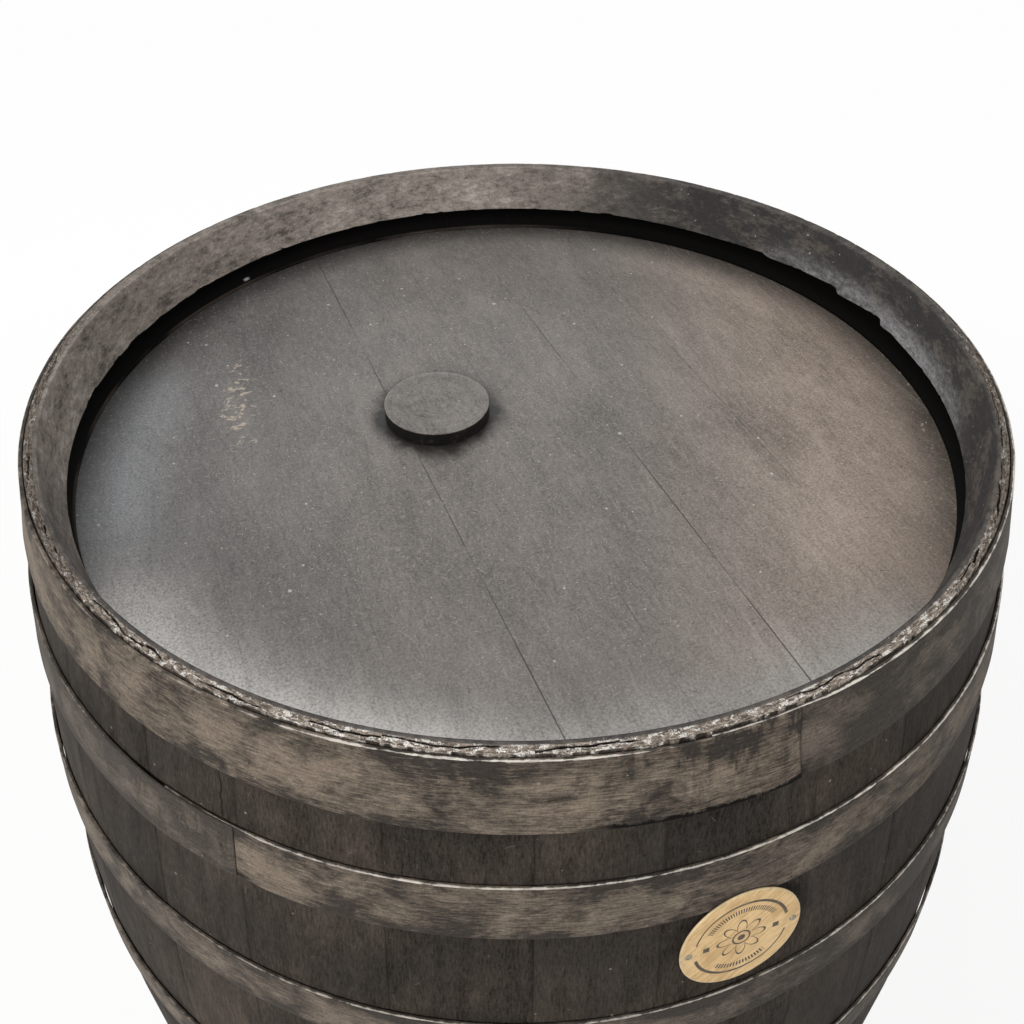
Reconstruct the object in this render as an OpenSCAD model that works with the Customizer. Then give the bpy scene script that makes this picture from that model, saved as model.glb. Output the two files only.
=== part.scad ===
// Wine barrel: bent oak staves held by riveted steel hoops, with a boarded head let into a
// groove at each end, a bung in the upper head and another in the bilge.
// Millimetres, +Z up along the cask's axis, origin at the middle of the base.
// The badge is on the -Y side and the bilge bung on the +Y side.

/* [Cask] */
// Height over the stave ends
cask_h = 950; // [880:1:1000]
// Outer radius of the stave ends
end_r = 285; // [275:1:300]
// Outer radius at the bilge, half-way up
bilge_r = 345; // [330:1:365]
// Thickness of a stave
stave_t = 26; // [24:0.5:30]
// Number of staves, an even number
stave_n = 28; // [24:2:28]
// Share by which the widths of the staves differ
stave_var = 0.16; // [0:0.01:0.2]
// Width of the bung stave, as a multiple of the usual stave
bung_stave_w = 1.25; // [1.2:0.05:1.5]
// Gap in a joint between staves
stave_gap = 0.1; // [0.05:0.05:0.3]

/* [Chime] */
// Width of the flat stave end at the rim
crest_w = 7; // [5:0.5:9]
// Height of the bevel inside the rim
bevel_h = 33; // [26:1:36]
// How far the bevel leans in over that height
bevel_in = 6.5; // [4:0.5:8]
// How far the howel is hollowed out behind the bevel's foot
howel_d = 4.5; // [3:0.5:5.5]
// Height of the lip between the howel and the croze
croze_lip = 1.5; // [1:0.5:3]
// Depth of the croze groove's upper wall below the rim
croze_u = 50; // [46:1:56]
// Width of the croze groove
croze_w = 6; // [5:0.5:8]
// Depth of the croze groove
croze_d = 6.5; // [5:0.5:8]
// Play of a head's edge in its groove, each way
croze_play = 0.2; // [0.1:0.05:0.5]

/* [Heads] */
// Thickness of a head
head_t = 22; // [18:0.5:26]
// Width of the chamfer on the inner side of a head
head_chamfer = 24; // [15:1:40]
// Turn of the head boards away from the badge's axis, in degrees
board_turn = 1.8; // [-10:0.1:10]
// Gap in a joint between boards
board_gap = 0.15; // [0.05:0.05:0.5]
// Radius of a dowel
dowel_r = 4; // [3:0.5:5]
// Length of a dowel
dowel_l = 40; // [30:1:44]
// Distance of the dowels from the middle of a joint
dowel_at = 100; // [80:1:130]

/* [Hoops] */
// Thickness of the hoop steel
hoop_t = 2; // [1.5:0.1:2.5]
// Gap between a hoop and the staves
hoop_gap = 0.3; // [0.2:0.05:0.5]
// Distance from the rim to the chime hoop
chime_hoop_u = 1; // [0.5:0.5:3]
// Width of the chime hoop
chime_hoop_w = 40; // [35:1:50]
// Distance from the rim to the collar hoop
collar_hoop_u = 74; // [64:1:76]
// Width of the collar hoop
collar_hoop_w = 34; // [30:1:36]
// Distance from the rim to the quarter hoop
quarter_hoop_u = 178; // [174:1:200]
// Width of the quarter hoop
quarter_hoop_w = 30; // [28:1:40]
// Distance from the rim to the bilge hoop
bilge_hoop_u = 306; // [290:1:320]
// Width of the bilge hoop
bilge_hoop_w = 30; // [28:1:40]
// Length of the lap where a hoop's ends overlap
lap_l = 43; // [36:1:70]
// Middle of the upper chime hoop's lap round the axis, in degrees from +X
chime_lap_at = -89.5; // [-180:0.5:180]
// Middle of the upper collar hoop's lap round the axis, in degrees from +X
collar_lap_at = -139.5; // [-180:0.5:180]
// Middle of the upper quarter hoop's lap round the axis, in degrees from +X
quarter_lap_at = 62; // [-180:0.5:180]
// Middle of the upper bilge hoop's lap round the axis, in degrees from +X
bilge_lap_at = 118; // [-180:0.5:180]
// Turn of the lower hoops' laps from the upper ones, in degrees
lower_lap_turn = 165; // [-180:1:180]
// Radius of a rivet's shank
rivet_r = 2.5; // [2:0.1:3]
// Radius of a rivet's head
rivet_head_r = 4.5; // [4:0.1:6]
// Height of a rivet's head
rivet_head_h = 0.8; // [0.5:0.1:1.5]

/* [Bungs] */
// Place of the head bung across the boards, from the axis
head_bung_x = -44; // [-46:0.5:-30]
// Place of the head bung along the boards, from the axis
head_bung_y = 28; // [-60:1:60]
// Radius of the head bung's flat top
head_bung_r = 34; // [28:0.5:38]
// Height of the head bung's flat top
head_bung_h = 9.5; // [6:0.5:14]
// Radius of the head bung's hole at the face of the head
head_hole_r = 20; // [16:0.5:20]
// Length of the head bung's shank
head_shank_l = 26; // [20:1:40]
// Radius of the bilge bung's hole at the face of the stave
bilge_hole_r = 25; // [20:0.5:26]
// Length of the bilge bung
bilge_bung_l = 42; // [36:1:50]
// How far the bilge bung stands proud of the stave
bilge_bung_out = 0; // [0:0.5:6]
// Taper of both bungs, radius lost for each unit of length
bung_taper = 0.06; // [0.04:0.01:0.1]
// Gap between a bung and its hole
bung_gap = 0.3; // [0.2:0.05:0.5]

/* [Badge] */
// Distance of the badge's middle from the rim, down the axis
badge_u = 134; // [132:1:140]
// Radius of the badge
badge_r = 33; // [28:0.5:34]
// Thickness of the badge
badge_t = 1.2; // [0.8:0.1:2]
// Distance of the badge's nails from its middle
nail_at = 28.5; // [22:0.5:29]
// Radius of a nail's shank
nail_r = 0.9; // [0.6:0.1:1.2]
// Radius of a nail's head
nail_head_r = 2; // [1.6:0.1:2.5]
// Height of a nail's head
nail_head_h = 0.8; // [0.5:0.1:1.2]
// Length of a nail's shank
nail_l = 19; // [14:0.5:22]

/* [Hidden] */
$fn = 120;
// Clearance round a rivet, a dowel or a nail in its hole
pin_play = 0.05;
mid_z = cask_h / 2;
// The staves' outer face in section is one arc through both ends and the bilge
bow = bilge_r - end_r;
arc_r = (mid_z * mid_z + bow * bow) / (2 * bow);
arc_x = bilge_r - arc_r;
// Radius of an arc offset by t from the outer face, at a depth u below the rim
function face_r(u, t = 0) = arc_x + sqrt(pow(arc_r + t, 2) - pow(mid_z - u, 2));
// Lean of the outer face at a depth u below the rim
function face_lean(u) = asin((mid_z - u) / arc_r);

bevel_r = end_r - crest_w - bevel_in;
lip_u = croze_u - croze_lip;
howel_half = (lip_u - bevel_h) / 2;
howel_r = (howel_half * howel_half + howel_d * howel_d) / (2 * howel_d);
croze_r = face_r(croze_u, -stave_t) + croze_d;
// A radius inside the wall that every cut can start from
inner_r = end_r - 2.5 * stave_t;

head_r = croze_r - 2 * croze_play;
tongue_r = face_r(croze_u + croze_w, -stave_t) - 1.5;
head_z = cask_h - croze_u - croze_play;
// Joints between head boards, as shares of the head's radius
joint_share = [-1.01, -0.725, -0.485, -0.25, -0.016, 0.208, 0.492, 0.74, 1.01];
board_n = len(joint_share) - 1;

// Stave widths: the first carries the badge, and the bung stave is opposite it
function side_i(i) = min(i, stave_n - i);
function rel_w(i) = i == stave_n / 2 ? bung_stave_w : 1 + stave_var * cos(222.5 * side_i(i));
function width_to(k) = k <= 0 ? 0 : rel_w(k - 1) + width_to(k - 1);
width_unit = 360 / width_to(stave_n);
function stave_start(i) = -90 + width_unit * (width_to(i) - rel_w(0) / 2);
gap_turn = stave_gap / end_r * 180 / PI;

badge_off = hoop_gap + hoop_t + 0.2;

function two_digits(k) = k < 10 ? str("0", k) : str(k);
function stave_name(i) = i == stave_n / 2 ? "bung_stave" : str("stave_", two_digits(i + 1));
hoop_names = ["chime_hoop", "collar_hoop", "quarter_hoop", "bilge_hoop"];
hoop_u = [chime_hoop_u, collar_hoop_u, quarter_hoop_u, bilge_hoop_u];
hoop_w = [chime_hoop_w, collar_hoop_w, quarter_hoop_w, bilge_hoop_w];
lap_at = [chime_lap_at, collar_lap_at, quarter_lap_at, bilge_lap_at];

paint = [0.15, 0.14, 0.13];
head_paint = [0.33, 0.33, 0.33];
hoop_paint = [0.36, 0.33, 0.30];
oak = [0.62, 0.47, 0.31];
gold = [0.78, 0.64, 0.40];
steel = [0.70, 0.70, 0.70];

// Turns what is drawn for the upper end over to the lower end
module at_lower_end() translate([0, 0, cask_h]) mirror([0, 0, 1]) children();

// Bevel, howel and croze in section, for the end at the bottom
module end_cuts() {
    lean = bevel_in / bevel_h;
    polygon([
        [inner_r, -1],
        [end_r - crest_w + lean, -1],
        [bevel_r, bevel_h],
        [bevel_r, lip_u],
        [inner_r, lip_u]
    ]);
    intersection() {
        translate([bevel_r + howel_d - howel_r, bevel_h + howel_half]) circle(r = howel_r);
        translate([inner_r, bevel_h]) square([croze_r - inner_r + 5, 2 * howel_half]);
    }
    translate([inner_r, croze_u]) square([croze_r - inner_r, croze_w]);
}

// Section of the cask's wall
module wall_profile() {
    difference() {
        intersection() {
            translate([arc_x, mid_z]) circle(r = arc_r, $fn = 720);
            translate([inner_r, 0]) square([bilge_r - inner_r + 1, cask_h]);
        }
        translate([arc_x, mid_z]) circle(r = arc_r - stave_t, $fn = 720);
        end_cuts();
        translate([0, cask_h]) mirror([0, 1]) end_cuts();
    }
}

module bilge_hole() {
    out = bilge_bung_out + 1;
    translate([0, bilge_r + out, mid_z]) rotate([-90, 0, 0])
        shank(bilge_hole_r + bung_taper * out, stave_t + out + 10);
}

module stave(i) {
    color(paint)
    difference() {
        rotate([0, 0, stave_start(i) + gap_turn / 2])
            rotate_extrude(angle = width_unit * rel_w(i) - gap_turn) wall_profile();
        if (i == 0) at_badge() nail_shanks(nail_r + pin_play, nail_l + 1);
        if (i == stave_n / 2) bilge_hole();
    }
}

// Section of a hoop of steel t thick, lying a distance off the staves
module hoop_profile(k, off, t) {
    u1 = hoop_u[k];
    u2 = u1 + hoop_w[k];
    r1 = face_r(u1) + off;
    r2 = face_r(u2) + off;
    polygon([[r1, -u1], [r2, -u2], [r2 + t, -u2], [r1 + t, -u1]]);
}

function lap_turn(k) = lap_l / face_r(hoop_u[k] + hoop_w[k] / 2) * 180 / PI;

// Puts a rivet on a hoop's inner face, pointing outward
module at_rivets(k, lap) {
    u = hoop_u[k] + hoop_w[k] / 2;
    r1 = face_r(hoop_u[k]);
    r2 = face_r(hoop_u[k] + hoop_w[k]);
    lean = atan((r2 - r1) / hoop_w[k]);
    for (s = [-1, 1])
        rotate([0, 0, lap + s * lap_turn(k) / 4])
            translate([(r1 + r2) / 2 + hoop_gap, 0, -u])
                rotate([0, 90 - lean, 0]) children();
}

module hoop(k, lap) {
    color(hoop_paint)
    translate([0, 0, cask_h])
    difference() {
        union() {
            rotate_extrude() hoop_profile(k, hoop_gap, hoop_t);
            rotate([0, 0, lap - lap_turn(k) / 2])
                rotate_extrude(angle = lap_turn(k)) hoop_profile(k, hoop_gap + hoop_t / 2, hoop_t * 1.5);
        }
        at_rivets(k, lap) translate([0, 0, -2]) cylinder(r = rivet_r + pin_play, h = 2 * hoop_t + 6, $fn = 32);
    }
}

module rivets(k, lap) {
    translate([0, 0, cask_h])
    at_rivets(k, lap) {
        translate([0, 0, 0.05]) cylinder(r = rivet_r, h = 2 * hoop_t + 0.3, $fn = 32);
        translate([0, 0, 2 * hoop_t + 0.1])
            cylinder(r1 = rivet_head_r, r2 = rivet_head_r - rivet_head_h, h = rivet_head_h, $fn = 32);
    }
}

module hoop_rivets() {
    color(hoop_paint)
    for (k = [0 : len(hoop_u) - 1]) {
        rivets(k, lap_at[k]);
        at_lower_end() rivets(k, lap_at[k] + lower_lap_turn);
    }
}

// Section of a head, its outer face at height 0
module head_profile() {
    edge = croze_w - 2 * croze_play;
    polygon([
        [0, 0],
        [head_r, 0],
        [head_r, -edge],
        [tongue_r, -edge],
        [tongue_r - head_chamfer, -head_t],
        [0, -head_t]
    ]);
}

// Puts dowels, or holes for them, in the joints from one number to another
module in_joints(from, to, r, l) {
    for (j = [from : to], s = [-1, 1])
        translate([joint_share[j] * head_r, s * dowel_at, -head_t / 2])
            rotate([0, 90, 0]) cylinder(r = r, h = l, center = true, $fn = 32);
}

module head_board(j) {
    x1 = joint_share[j] * head_r + board_gap / 2;
    x2 = joint_share[j + 1] * head_r - board_gap / 2;
    color(head_paint)
    translate([0, 0, head_z]) rotate([0, 0, board_turn])
    difference() {
        intersection() {
            rotate_extrude() head_profile();
            translate([x1, -head_r - 1, -head_t - 1]) cube([x2 - x1, 2 * head_r + 2, head_t + 2]);
        }
        in_joints(max(j, 1), min(j + 1, board_n - 1), dowel_r + pin_play, dowel_l + 1);
        children();
    }
}

module head_dowels() {
    color(oak)
    translate([0, 0, head_z]) rotate([0, 0, board_turn])
        in_joints(1, board_n - 1, dowel_r, dowel_l);
}

// A bung's tapered shank below height 0
module shank(r, l) translate([0, 0, -l]) cylinder(r1 = r - bung_taper * l, r2 = r, h = l);

module head_hole() {
    r = head_hole_r + bung_taper;
    translate([head_bung_x, head_bung_y, 1]) shank(r, head_t + 2);
}

module head_bung() {
    color(head_paint)
    translate([0, 0, head_z]) rotate([0, 0, board_turn])
    translate([head_bung_x, head_bung_y, 0]) {
        cylinder(r = head_bung_r, h = head_bung_h);
        translate([0, 0, 0.5]) shank(head_hole_r - bung_gap, head_shank_l + 0.5);
    }
}

module bilge_bung() {
    r = bilge_hole_r + bung_taper * bilge_bung_out - bung_gap;
    color(oak)
    translate([0, bilge_r + bilge_bung_out, mid_z]) rotate([-90, 0, 0]) shank(r, bilge_bung_l);
}

// Puts the badge's frame on the staves' outer face, pointing outward
module at_badge() {
    translate([0, -face_r(badge_u), cask_h - badge_u])
        rotate([90 - face_lean(badge_u), 0, 0]) children();
}

// Nail shanks down from under their heads
module nail_shanks(r, l) {
    for (s = [-1, 1])
        translate([s * nail_at, 0, badge_off + badge_t - l]) cylinder(r = r, h = l + 0.2, $fn = 32);
}

module badge() {
    color(gold)
    at_badge()
    difference() {
        translate([0, 0, badge_off]) cylinder(r = badge_r, h = badge_t);
        nail_shanks(nail_r + pin_play, nail_l + 1);
    }
}

module badge_nails() {
    color(steel)
    at_badge() {
        nail_shanks(nail_r, nail_l);
        for (s = [-1, 1])
            translate([s * nail_at, 0, badge_off + badge_t + 0.05])
                cylinder(r1 = nail_head_r, r2 = nail_head_r - nail_head_h / 2, h = nail_head_h, $fn = 32);
    }
}

for (i = [0 : stave_n - 1])
    stave(i);
for (k = [0 : len(hoop_names) - 1]) {
    hoop(k, lap_at[k]);
    at_lower_end() hoop(k, lap_at[k] + lower_lap_turn);
}
hoop_rivets();
for (j = [0 : board_n - 1]) {
    head_board(j) head_hole();
    at_lower_end() head_board(j);
}
head_dowels();  // upper_head_dowels
at_lower_end() head_dowels();  // lower_head_dowels
head_bung();
bilge_bung();
badge();
badge_nails();
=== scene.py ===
# Wine barrel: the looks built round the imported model.
# Metres, +Z up along the cask, the badge towards -Y and the bilge bung towards +Y.
import math

import bmesh
import bpy
from mathutils import Euler, Matrix, Vector, noise


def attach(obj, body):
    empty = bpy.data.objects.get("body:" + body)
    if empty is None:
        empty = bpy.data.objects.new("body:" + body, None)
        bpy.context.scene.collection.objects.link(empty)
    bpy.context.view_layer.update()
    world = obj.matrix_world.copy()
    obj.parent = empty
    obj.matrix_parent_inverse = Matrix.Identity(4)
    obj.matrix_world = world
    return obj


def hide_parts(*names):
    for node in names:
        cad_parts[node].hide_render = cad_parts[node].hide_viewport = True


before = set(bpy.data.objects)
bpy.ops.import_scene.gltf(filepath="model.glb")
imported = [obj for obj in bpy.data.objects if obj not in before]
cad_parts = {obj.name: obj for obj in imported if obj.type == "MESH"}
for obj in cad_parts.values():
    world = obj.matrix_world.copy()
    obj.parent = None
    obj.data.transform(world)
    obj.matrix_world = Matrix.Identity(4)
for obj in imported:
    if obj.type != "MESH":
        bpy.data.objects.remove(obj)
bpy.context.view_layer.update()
scene = bpy.context.scene
scene.view_settings.view_transform = "Standard"
mm = 0.001


# a node socket that takes part in sums, the same in material trees and in shape trees
class Tap:
    def __init__(self, tree, socket=None):
        self.tree, self.socket = tree, socket

    def make(self, kind, settings=None, values=None, out=0):
        node = self.tree.nodes.new(kind)
        for key, value in (settings or {}).items():
            setattr(node, key, value)
        for key, value in (values or {}).items():
            if isinstance(value, Tap):
                self.tree.links.new(value.socket, node.inputs[key])
            else:
                node.inputs[key].default_value = value
        if isinstance(out, tuple):
            return [Tap(self.tree, node.outputs[name]) for name in out]
        return Tap(self.tree, node.outputs[out])

    def calc(self, operation, other=0.0, swap=False):
        first, second = (other, self) if swap else (self, other)
        return self.make("ShaderNodeMath", {"operation": operation}, {0: first, 1: second})

    def __add__(self, other): return self.calc("ADD", other)
    def __sub__(self, other): return self.calc("SUBTRACT", other)
    def __rsub__(self, other): return self.calc("SUBTRACT", other, True)
    def __mul__(self, other): return self.calc("MULTIPLY", other)
    def __truediv__(self, other): return self.calc("DIVIDE", other)
    def __pow__(self, other): return self.calc("POWER", other)
    def __neg__(self): return self.calc("MULTIPLY", -1.0)
    def __abs__(self): return self.calc("ABSOLUTE")
    __radd__, __rmul__ = __add__, __mul__


# 0 at low and 1 at high, or the other way round where low is above high
def ease(tap, low, high):
    return tap.make("ShaderNodeMapRange", {"interpolation_type": "SMOOTHSTEP"}, {0: tap, 1: low, 2: high})


def capped(tap):
    return tap.make("ShaderNodeClamp", {}, {"Value": tap})


def shifted(place, by):
    return place.make("ShaderNodeVectorMath", {"operation": "ADD"}, {0: place, 1: by})


def squeezed(place, by):
    return place.make("ShaderNodeVectorMath", {"operation": "MULTIPLY"}, {0: place, 1: by})


def cloud(place, scale, detail=2.0, rough=0.5, twist=0.0):
    return place.make("ShaderNodeTexNoise", {}, {
        "Vector": place, "Scale": scale, "Detail": detail, "Roughness": rough, "Distortion": twist})


def parts(place):
    return place.make("ShaderNodeSeparateXYZ", {}, {0: place}, ("X", "Y", "Z"))


def joined(start, x, y, z):
    return start.make("ShaderNodeCombineXYZ", {}, {0: x, 1: y, 2: z})


def distance(x, y):
    return (x * x + y * y) ** 0.5


def azimuth(x, y):
    return y.calc("ARCTAN2", x)


def cosine(turn):
    return turn.calc("COSINE")


def sine(turn):
    return turn.calc("SINE")


# the cosine of how far a turn is from an azimuth in degrees
def facing(turn, degrees):
    return cosine(turn - math.radians(degrees))


# how far a pattern swings about its middle
def swing(tap, by):
    return (tap - 0.5) * by


def solid(colour):
    return colour if isinstance(colour, Tap) else (*colour, 1.0)


def mixed(share, first, second):
    values = {0: share, 6: solid(first), 7: solid(second)}
    return share.make("ShaderNodeMix", {"data_type": "RGBA"}, values, 2)


def shaded(colour, level):
    return level.make("ShaderNodeVectorMath", {"operation": "SCALE"}, {0: colour, 3: level})


# a number kept at the points of a mesh
def marked(start, name):
    if start.tree.bl_idname == "GeometryNodeTree":
        return start.make("GeometryNodeInputNamedAttribute", {"data_type": "FLOAT"}, {"Name": name})
    return start.make("ShaderNodeAttribute", {"attribute_name": name}, {}, "Fac")


# a new material, the place on the object that its patterns start from and its shader
def newFinish(name, roughness, specular):
    finish = bpy.data.materials.new(name)
    finish.use_nodes = True
    shader = finish.node_tree.nodes["Principled BSDF"]
    shader.inputs["Roughness"].default_value = roughness
    shader.inputs["Specular IOR Level"].default_value = specular
    return finish, Tap(finish.node_tree).make("ShaderNodeTexCoord", {}, {}, "Object"), shader


def feed(shader, **taps):
    for label, tap in taps.items():
        tap.tree.links.new(tap.socket, shader.inputs[label.replace("_", " ")])


def bumped(height, depth, under=None):
    values = {"Strength": 1.0, "Distance": depth, "Height": height}
    if under:
        values["Normal"] = under
    return height.make("ShaderNodeBump", {}, values)


# short strokes, such as lint and small scratches, one in each cell and turned at random
def strokes(place, scale, long, thin, keep):
    hue, centre = place.make("ShaderNodeTexVoronoi", {"voronoi_dimensions": "2D"}, {
        "Vector": place, "Scale": scale}, ("Color", "Position"))
    pick, chance, size = parts(hue)
    x, y, z = parts(place.make("ShaderNodeVectorMath", {"operation": "SUBTRACT"}, {0: place, 1: centre}))
    turn = pick * 6.283
    run, off = x * cosine(turn) + y * sine(turn), y * cosine(turn) - x * sine(turn)
    off = off + run * run * (size - 0.5) * scale * 2.0
    line = ease(abs(off), thin, thin * 0.3) * ease(abs(run) / (size + 0.2), long, long * 0.6)
    return line * ease(chance, keep, keep + 0.02)


# small dots, a random size in each cell of the pattern
def specks(place, scale, size):
    far, hue = place.make("ShaderNodeTexVoronoi", {}, {
        "Vector": place, "Scale": scale}, ("Distance", "Color"))
    pick = parts(hue)[0]
    return ease(far / (pick * pick * pick * size + 0.0001), 1.0, 0.55)


# kinds of the shape trees' inputs; the rest are plain numbers
inputKinds = {"Geometry": "Geometry", "Columns": "Int", "Material": "Material"}


# a shape tree with named inputs, a tap for each and its output node
def newTree(name, *labels):
    tree = bpy.data.node_groups.new(name, "GeometryNodeTree")
    for label in ("Geometry",) + labels + ("Material",):
        kind = inputKinds.get(label, "Float")
        tree.interface.new_socket(label, in_out="INPUT", socket_type="NodeSocket" + kind)
    tree.interface.new_socket("Geometry", in_out="OUTPUT", socket_type="NodeSocketGeometry")
    source, sink = tree.nodes.new("NodeGroupInput"), tree.nodes.new("NodeGroupOutput")
    return {s.name: Tap(tree, s) for s in source.outputs if s.name}, sink


# the shape with a number kept at each of its points under each name
def noted(shape, **numbers):
    for name, number in numbers.items():
        shape = shape.make("GeometryNodeStoreNamedAttribute", {"data_type": "FLOAT", "domain": "POINT"}, {
            "Geometry": shape, "Name": name, "Value": number})
    return shape


# the shape with its points put elsewhere
def placed(shape, x, y, z):
    return shape.make("GeometryNodeSetPosition", {}, {"Geometry": shape, "Position": joined(shape, x, y, z)})


# a section carried along a line and closed at both ends, its faces turned outward
def swept(line, section):
    shape = line.make("GeometryNodeCurveToMesh", {}, {
        "Curve": line, "Profile Curve": section, "Fill Caps": True})
    return shape.make("GeometryNodeFlipFaces", {}, {"Mesh": shape})


# smooth shading with sharp edges, plain mesh and material: how every shape tree ends
def closeTree(taps, sink, shape, sharp):
    bend = shape.make("GeometryNodeInputMeshEdgeAngle", {}, {}, "Unsigned Angle")
    hard = bend.make("ShaderNodeMath", {"operation": "GREATER_THAN"}, {0: bend, 1: math.radians(sharp)})
    shape = shape.make("GeometryNodeSetShadeSmooth", {"domain": "EDGE"}, {
        "Geometry": shape, "Selection": hard, "Shade Smooth": False})
    shape = shape.make("GeometryNodeRealizeInstances", {}, {"Geometry": shape})
    shape = shape.make("GeometryNodeSetMaterial", {}, {"Geometry": shape, "Material": taps["Material"]})
    shape.tree.links.new(shape.socket, sink.inputs["Geometry"])
    return shape.tree


# gives a piece the mesh that its modifier makes, and drops the modifier
def keepShape(piece, modifier):
    graph = bpy.context.evaluated_depsgraph_get()
    mesh = bpy.data.meshes.new_from_object(
        piece.evaluated_get(graph), preserve_all_data_layers=True, depsgraph=graph)
    piece.modifiers.remove(modifier)
    piece.data = mesh


# runs a shape tree on a base mesh and keeps the result as a plain mesh
def grow(name, base, tree, values):
    piece = bpy.data.objects.new(name, base)
    scene.collection.objects.link(piece)
    shaper = piece.modifiers.new("shape", "NODES")
    shaper.node_group = tree
    for item in tree.interface.items_tree:
        if item.in_out == "INPUT" and item.name in values:
            shaper[item.identifier] = values[item.name]
    keepShape(piece, shaper)
    piece.data.name = name
    return piece


def markPoints(mesh, marks):
    for label, numbers in marks.items():
        mesh.attributes.new(label, "FLOAT", "POINT").data.foreach_set("value", numbers)


# a closed outline as edges, with a number for each of its points under each mark
def outlineMesh(name, points, marks):
    mesh = bpy.data.meshes.new(name)
    count = len(points)
    mesh.from_pydata([(x, y, 0.0) for x, y in points], [(k, (k + 1) % count) for k in range(count)], [])
    markPoints(mesh, marks)
    return mesh


def newPiece(name, form, finish, sharp=30):
    mesh = bpy.data.meshes.new(name)
    form.to_mesh(mesh)
    form.free()
    mesh.shade_smooth()
    mesh.set_sharp_from_angle(angle=math.radians(sharp))
    mesh.materials.append(finish)
    piece = bpy.data.objects.new(name, mesh)
    scene.collection.objects.link(piece)
    return piece


def settle(piece, body, slot, *nodes):
    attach(piece, body)
    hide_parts(*nodes)


# takes a cutter out of a piece and drops the cutter
def cutOut(piece, cutter):
    saw = piece.modifiers.new("hole", "BOOLEAN")
    saw.operation, saw.solver, saw.object = "DIFFERENCE", "EXACT", cutter
    keepShape(piece, saw)
    bpy.data.objects.remove(cutter)


# turned work: an outline of (radius, height) from the top middle to the bottom middle
def turned(outline, sides):
    form = bmesh.new()
    rings = []
    for radius, height in outline:
        count = 1 if radius < 1e-6 else sides
        rings.append([form.verts.new((
            radius * math.cos(2 * math.pi * k / sides), radius * math.sin(2 * math.pi * k / sides), height))
            for k in range(count)])
    for above, below in zip(rings, rings[1:]):
        for k in range(sides):
            corners = [above[k % len(above)], below[k % len(below)],
                       below[(k + 1) % len(below)], above[(k + 1) % len(above)]]
            form.faces.new(list(dict.fromkeys(corners)))
    return form


cask = {
    "height": 0.950,
    "endRadius": 0.285,
    "bilgeRadius": 0.345,
    "thick": 0.026,
}
midZ = cask["height"] / 2
bow = cask["bilgeRadius"] - cask["endRadius"]
arcRadius = (midZ ** 2 + bow ** 2) / (2 * bow)
arcCentre = cask["bilgeRadius"] - arcRadius


# radius of the staves' face, or of a face off it, at a depth below the rim
def faceRadius(depth, off=0.0):
    return arcCentre + math.sqrt((arcRadius + off) ** 2 - (midZ - depth) ** 2)


chime = {
    "crest": 7 * mm,          # flat stave end at the rim
    "bevelHeight": 33 * mm,
    "bevelIn": 6.5 * mm,
    "howelDeep": 4.5 * mm,
    "lipTop": 48.5 * mm,
    "crozeTop": 50 * mm,
    "crozeWide": 6 * mm,
    "crozeDeep": 6.5 * mm,
}
bevelSlope = chime["bevelIn"] / chime["bevelHeight"]
bevelFoot = cask["endRadius"] - chime["crest"] - chime["bevelIn"]
crozeRadius = faceRadius(chime["crozeTop"], -cask["thick"]) + chime["crozeDeep"]

staves = {
    "count": 28,
    "vary": 0.16,             # how much the widths differ
    "bungStave": 14,
    "bungStaveWide": 1.25,
    "jointGap": 0.1 * mm,
    "columns": 72,
    # depths below the rim, in mm, of the points down the outside, the bevel and the inside
    "outerRows": (475, 400, 340, 285, 235, 190, 150, 115, 85, 60, 40, 25, 15, 9, 6, 4, 2.5, 1.4, 0.6),
    "bevelRows": (2.5, 5, 8, 12, 16, 20, 24, 27, 29, 30.5, 31.6, 32.4, 32.8, 33),
    "insideRows": (56, 70, 100, 150, 220, 300, 390, 475),
    # shares of the way down the howel
    "howelRows": (0.012, 0.06, 0.14, 0.23, 0.32, 0.41, 0.5, 0.6, 0.7, 0.8, 0.9),
    "crestSteps": 12,
    "frayReach": 9,           # mm below the rim that splinters and breaks reach
    "frayDeep": 1.6 * mm,     # deepest splinter out of the rim
    "footChips": 1.2 * mm,    # small breaks along the bevel's foot
    # breaks of the bevel's foot: azimuth, length in degrees and depth
    "tears": [(10.0, 13.0, 3.6 * mm), (-0.3, 8.5, 4.2 * mm), (25.0, 9.0, 1.6 * mm)],
    "grooveDeep": 0.15 * mm,
    "grooveWide": 0.5 * mm,
    "wornSide": -112.0,       # the rim is most splintered here, degrees from +X
}


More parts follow.
